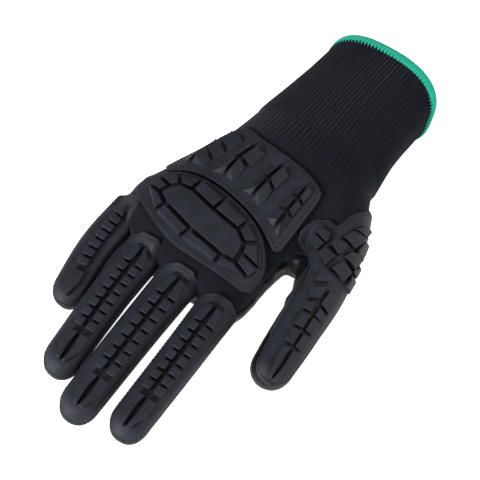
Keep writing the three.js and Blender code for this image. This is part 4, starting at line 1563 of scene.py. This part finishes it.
class ThumbGuard:
    """The guard over thumb and thumb root: two lobes of diamond blocks, with pairs towards the tip."""

    # Distance along the thumb and the sheet's two edges, in degrees from the thumb's back
    SHEET = (
        (7, 60, 88), (9, 50, 92), (14, 21, 95), (18.7, 10, 95), (41, -42, 95), (45, -26, 94), (56, -27, 90),
        (68, -35, 86), (87, -39, 80), (102, -34, 72), (106, -25, 60), (109, 0, 45),
    )
    # The lobe towards the fingers, round from the thumb to the notch between the lobes
    LOBE = (
        (41, -44), (36, -75), (33, -95), (28, -93), (21, -69), (19.2, -46), (19, -18), (22.5, -3), (18.7, 10),
    )
    # Corners of the blocks as distance along and degrees
    BLOCKS = (
        ((32.2, -45), (28, -36), (32.7, -14), (36.7, -22)),
        ((26, -37), (24.7, -26), (27, -9), (30.7, -8), (31.8, -12)),
        ((37.7, -18), (34.6, -9), (37.6, 12), (40.7, 6), (43, 2)),
        ((31.7, -2), (28.8, 4), (30.2, 25), (34.2, 20), (35.8, 15)),
        ((27, 15), (22.6, 27), (22.8, 56), (29.6, 39)),
        ((21.5, 29), (18, 46), (16.8, 77), (22, 60)),
        ((35.5, 27), (32.2, 34), (30.8, 50), (32.8, 68), (38.3, 56)),
        ((30.2, 46), (25.2, 53), (22.5, 86), (32.2, 74)),
        ((43.7, 13), (38.4, 25), (40.5, 50), (46.5, 42)),
        ((39.7, 58), (34.9, 74), (34.8, 92), (40.6, 78)),
        ((47.2, 53), (42.2, 58), (41.3, 92), (48.4, 81)),
        ((53.5, -5), (45.7, -2), (45.2, 5), (48.2, 23), (50.5, 21)),
        ((63, -2), (57.6, -3), (53.8, 18), (60.3, 19)),
        ((62, 26), (54.9, 28), (56.2, 48), (64.4, 48)),
        ((68.6, -1), (65.8, -2), (63.4, 16), (68.6, 16)),
        ((69, 28), (64.4, 27), (65.9, 48), (70, 49)),
    )
    OUTER_SHARE = 0.5  # height left where a block turns down over the thumb's side
    RADIUS = 17.0  # at which a degree is turned into a distance across
    LEVEL = 40.0  # degrees past which the sheet leaves the thumb for the back of the hand
    HAND_TO = (40, 72)  # degrees over which it leaves the skin for the thumb's own section
    GROW = 0.6  # how much larger a block's foot is than its measured top
    SLOPE = 0.5
    PILLOW = (0.6, 0.4)
    NAIL_SLOPE = 0.7
    # The pairs towards the tip: distances along, and degrees across
    PAIR_START, PAIRS, PITCH, GAP, NAIL_END = 69.8, 2, 9.4, 1.0, 105.5
    CENTRE, REACH = 23.0, 24.0

    def __init__(self, skin: Skin) -> None:
        """Takes the skin that the guard lies on."""
        self.skin = skin
        self.thumb = FINGERS["thumb"]
        self.degree = math.radians(1) * self.RADIUS

    def surface(self, s: float, across: float, lift: float) -> Vector:
        """Finds a place on the thumb, or on the back of the hand beside it.

        Args:
            s: distance along the thumb.
            across: distance across.
            lift: height over the skin.

        Returns:
            The place.
        """
        degrees = across / self.degree
        angle = math.radians(degrees)
        point = self.thumb.point(s, angle, lift)
        bare = self.thumb.point(s, angle)
        beyond = math.radians(-self.LEVEL - degrees)
        if beyond > 0:
            # Past the thumb's shoulder the lobe runs on level over the back of the hand
            _, _, side, _ = self.thumb.axes(s)
            level = math.radians(self.LEVEL)
            reach = self.thumb.size(s)[0] * (math.sin(level) + beyond * math.cos(level))
            bare = self.thumb.centre(s)[0] - side * reach
        share = 1 - smoothstep(*self.HAND_TO, degrees)
        share *= 1 - smoothstep(self.thumb.length - 8, self.thumb.length + 2, s)
        if share > 0:
            point = point.lerp(self.skin.over(bare.x, bare.y, lift), share)
        return point

    def outline(self) -> list[Vector]:
        """Draws the sheet's outline with its two lobes.

        Returns:
            The outline as distances along and across.
        """
        right = [(s, high * self.degree) for s, _, high in self.SHEET]
        left = [(s, low * self.degree) for s, low, _ in reversed(self.SHEET)]
        lobe = [(s, degrees * self.degree) for s, degrees in self.LOBE]
        root = [corner for corner in left if corner[0] < self.LOBE[-1][0]]
        return rounded(right + [corner for corner in left if corner[0] > self.LOBE[0][0]] + lobe + root)

    def build(self) -> Guard:
        """Makes the guard.

        Returns:
            The guard.
        """
        guard = Guard("thumb_guard", self.surface, slice_mm=1.8)
        guard.plate(self.outline())
        for corners in self.BLOCKS:
            foot = inset([(s, degrees * self.degree) for s, degrees in corners], -self.GROW)
            heights = [lerp(1.0, self.OUTER_SHARE, smoothstep(50, 85, degrees)) for _, degrees in corners]
            guard.block(foot, inset(foot, self.SLOPE), *self.PILLOW, heights)
        for side in (-1, 1):
            groove = self.CENTRE * self.degree + side * FingerPlan.GROOVE / 2
            outer = (self.CENTRE + side * self.REACH) * self.degree
            for pair in range(self.PAIRS):
                s = self.PAIR_START + pair * self.PITCH
                end = s + self.PITCH - self.GAP
                foot = [(s, groove), (end, groove), (end, outer), (s, outer)]
                guard.block(foot, inset(foot, FingerPlan.SQUARE_SLOPES), *FingerPlan.PILLOW)
            s = self.PAIR_START + self.PAIRS * self.PITCH
            half = (s + self.NAIL_END) / 2
            middle = self.CENTRE * self.degree
            narrow = (self.CENTRE + side * self.REACH * 0.45) * self.degree
            foot = [
                (s, middle + side * 0.25), (half, groove), (self.NAIL_END, middle + side * 0.2),
                (self.NAIL_END, narrow), (half, lerp(narrow, outer, 0.7)), (s, lerp(narrow, outer, 0.6)),
            ]
            guard.block(foot, inset(foot, self.NAIL_SLOPE), *FingerPlan.PILLOW)
        return guard


# Cuff edge


@dataclass
class OverlockedEdge:
    """The green overlock seam round the rim: a soft channel wrapped in loops of thread."""

    along: float = 3.4  # length of a long loop on the cuff
    short: float = 0.74  # a short loop's share of that
    over: float = 1.3  # thickness outside the cuff
    under: float = 0.9  # thickness inside it
    end: float = 1.1  # thickness past the rim
    pitch: float = 1.0
    thread: float = 0.85
    thread_sides: int = 6
    slant: float = 0.9  # how far a loop runs round the rim from one end to the other

    def section(self, shift: float) -> Section:
        """Finds a section before or past the rim.

        Args:
            shift: distance past the rim.

        Returns:
            The section.
        """
        if shift <= 0:
            return section_at(RIM_Y + shift)
        rim = section_at(RIM_Y)
        return Section(RIM_Y + shift, rim.left, rim.right, rim.low, rim.high, 0, rim.lean)

    def build(self) -> bpy.types.Object:
        """Builds channel and loops as one piece.

        Returns:
            The finished piece.
        """
        rim = section_at(RIM_Y)
        length = sum((b - a).length for a, b in zip(rim.ring(360), rim.ring(360)[1:]))
        count = round(length / self.pitch / 2) * 2
        angles = even_angles(rim, count)
        bm = bmesh.new()
        inside = -WALLS.knit - WALLS.fit
        fit = WALLS.fit
        # Offset from the cuff and place along it, round the channel
        core = (
            (fit + self.over * 0.25, -self.along * 0.85), (fit + self.over * 0.6, -self.along * 0.4),
            (fit + self.over * 0.45, self.end * 0.35), (-WALLS.knit / 2, self.end * 0.75),
            (inside - self.under * 0.45, self.end * 0.35), (inside - self.under * 0.6, -self.along * 0.4),
            (inside - self.under * 0.25, -self.along * 0.85), (inside + 0.5, -self.along * 0.8),
            (-WALLS.knit / 2, -0.4), (fit - 0.5, -self.along * 0.8),
        )
        rings = [[self.section(shift).point(angle, offset) for angle in angles] for offset, shift in core]
        tube(bm, rings + rings[:1], capped=False)
        for i in range(count):
            self.loop(bm, angles, i)
        bmesh.ops.recalc_face_normals(bm, faces=bm.faces)
        shade_smooth(bm, 180)
        return to_piece("overlocked_edge", bm, Finish.GREEN, ["cuff_binding"])

    def loop(self, bm: bmesh.types.BMesh, angles: Sequence[float], i: int) -> None:
        """Sews one loop over the rim, alternately long and short.

        Args:
            bm: the mesh that takes it.
            angles: the loops' angles round the rim.
            i: the loop's number.
        """
        reach = self.along if i % 2 else self.along * self.short
        inside = -WALLS.knit - WALLS.fit - self.under * 0.55
        outside = WALLS.fit + self.over * 0.55
        route = (
            (inside + 0.5, -reach * 0.9), (inside, -reach * 0.45), (inside + 0.1, self.end * 0.2),
            (-WALLS.knit / 2, self.end * 0.85), (outside - 0.1, self.end * 0.2),
            (outside + 0.12, -reach * 0.35), (outside, -reach * 0.8), (outside - 0.6, -reach),
        )
        pitch = (angles[(i + 1) % len(angles)] - angles[i]) % math.tau
        path = []
        for k, (offset, shift) in enumerate(route):
            angle = angles[i] + pitch * self.slant * (k / (len(route) - 1) - 0.5)
            path.append(self.section(shift).point(angle, offset))
        tube(bm, thread_rings(path, self.thread / 2, self.thread_sides))


def thread_rings(path: Sequence[Vector], radius: float, sides: int) -> list[list[Vector]]:
    """Rings a thin thread along a path, thinner at its ends.

    Args:
        path: the thread's path.
        radius: its radius.
        sides: points of a ring.

    Returns:
        The rings.
    """
    rings = []
    turns = [math.tau * i / sides for i in range(sides)]
    for k, point in enumerate(path):
        along = (path[min(k + 1, len(path) - 1)] - path[max(k - 1, 0)]).normalized()
        side = along.cross(Vector((0.3, 0.2, 1))).normalized()
        up = side.cross(along)
        size = radius * (0.45 if k in (0, len(path) - 1) else 1.0)
        rings.append([
            point + side * (size * math.cos(turn)) + up * (size * math.sin(turn)) for turn in turns
        ])
    return rings


# Studio


@dataclass(frozen=True)
class SoftLight:
    """A rectangular soft light: place and size in metres, power in watts."""

    name: str
    place: tuple[float, float, float]
    size: tuple[float, float]
    power: float
    aim: tuple[float, float, float] = (0.0, 0.0, 0.015)

    def build(self) -> None:
        """Hangs the light and points it at the glove."""
        lamp = bpy.data.lights.new(self.name, "AREA")
        lamp.shape = "RECTANGLE"
        lamp.size, lamp.size_y = self.size
        lamp.energy = self.power
        light = bpy.data.objects.new(self.name, lamp)
        bpy.context.scene.collection.objects.link(light)
        light.location = self.place
        light.rotation_euler = (Vector(self.aim) - Vector(self.place)).to_track_quat("-Z", "Y").to_euler()


class Studio:
    """Pale floor, soft light and the camera at the photo's angle."""

    TARGET = Vector((1.75, -1.70, 20.0))
    BACK = Vector((0.3009, -0.3993, 0.8660))
    DISTANCE = 560.0
    LENS = 82.6
    SENSOR = 36.0
    SKY = 0.25
    LIGHTS = (
        SoftLight("key", (-0.35, -0.95, 0.55), (0.35, 0.35), 20.0),
        SoftLight("fill", (0.8, 0.2, 0.8), (0.7, 0.7), 8.0),
        SoftLight("rim", (-0.3, 0.9, 0.7), (1.0, 0.4), 2.0),
    )

    def build(self) -> None:
        """Sets up everything round the glove."""
        camera_data = bpy.data.cameras.new("camera")
        camera_data.lens = self.LENS
        camera_data.sensor_width = self.SENSOR
        camera = bpy.data.objects.new("camera", camera_data)
        bpy.context.scene.collection.objects.link(camera)
        camera.location = (self.TARGET + self.BACK * self.DISTANCE) * MM
        camera.rotation_euler = self.BACK.to_track_quat("Z", "Y").to_euler()
        bpy.context.scene.camera = camera
        for light in self.LIGHTS:
            light.build()
        self.floor()
        world = bpy.data.worlds.new("studio")
        world.use_nodes = True
        world.node_tree.nodes["Background"].inputs["Color"].default_value = (1, 1, 1, 1)
        world.node_tree.nodes["Background"].inputs["Strength"].default_value = self.SKY
        bpy.context.scene.world = world
        bpy.context.scene.view_settings.view_transform = "Standard"

    def floor(self) -> None:
        """A large pale floor."""
        bm = bmesh.new()
        bmesh.ops.create_grid(bm, x_segments=1, y_segments=1, size=4)
        mesh = bpy.data.meshes.new("floor")
        bm.to_mesh(mesh)
        bm.free()
        floor = bpy.data.objects.new("floor", mesh)
        bpy.context.scene.collection.objects.link(floor)
        paint = Graph("matt white floor paint", roughness=0.9, specular=0.1)
        paint.shader.inputs["Base Color"].default_value = linear("#f4f4f4")
        # A light table: the glow keeps the floor pale under the glove
        paint.shader.inputs["Emission Color"].default_value = (1, 1, 1, 1)
        paint.shader.inputs["Emission Strength"].default_value = 1.0
        mesh.materials.append(paint.material)


def main() -> None:
    """Builds and dresses the glove, piece by piece."""
    logging.basicConfig(level=logging.INFO, format="%(name)s: %(message)s")
    Studio().build()
    skin = Skin()
    LOG.info("skin: %d faces", len(skin.bm.faces))
    KnitLiner(skin).build()
    RibbedCuff().build()
    DippedCoat(skin).build()
    back = BackGuards(skin)
    guards = [back.knuckle(), back.wrist(), ThumbGuard(skin).build()]
    guards += [plan.build(name, FINGERS[name], skin) for name, plan in FINGER_PLANS.items()]
    for guard in guards:
        guard.stitch()
        guard.lay()
    OverlockedEdge().build()
    skin.bm.free()


if __name__ == "__main__":
    main()
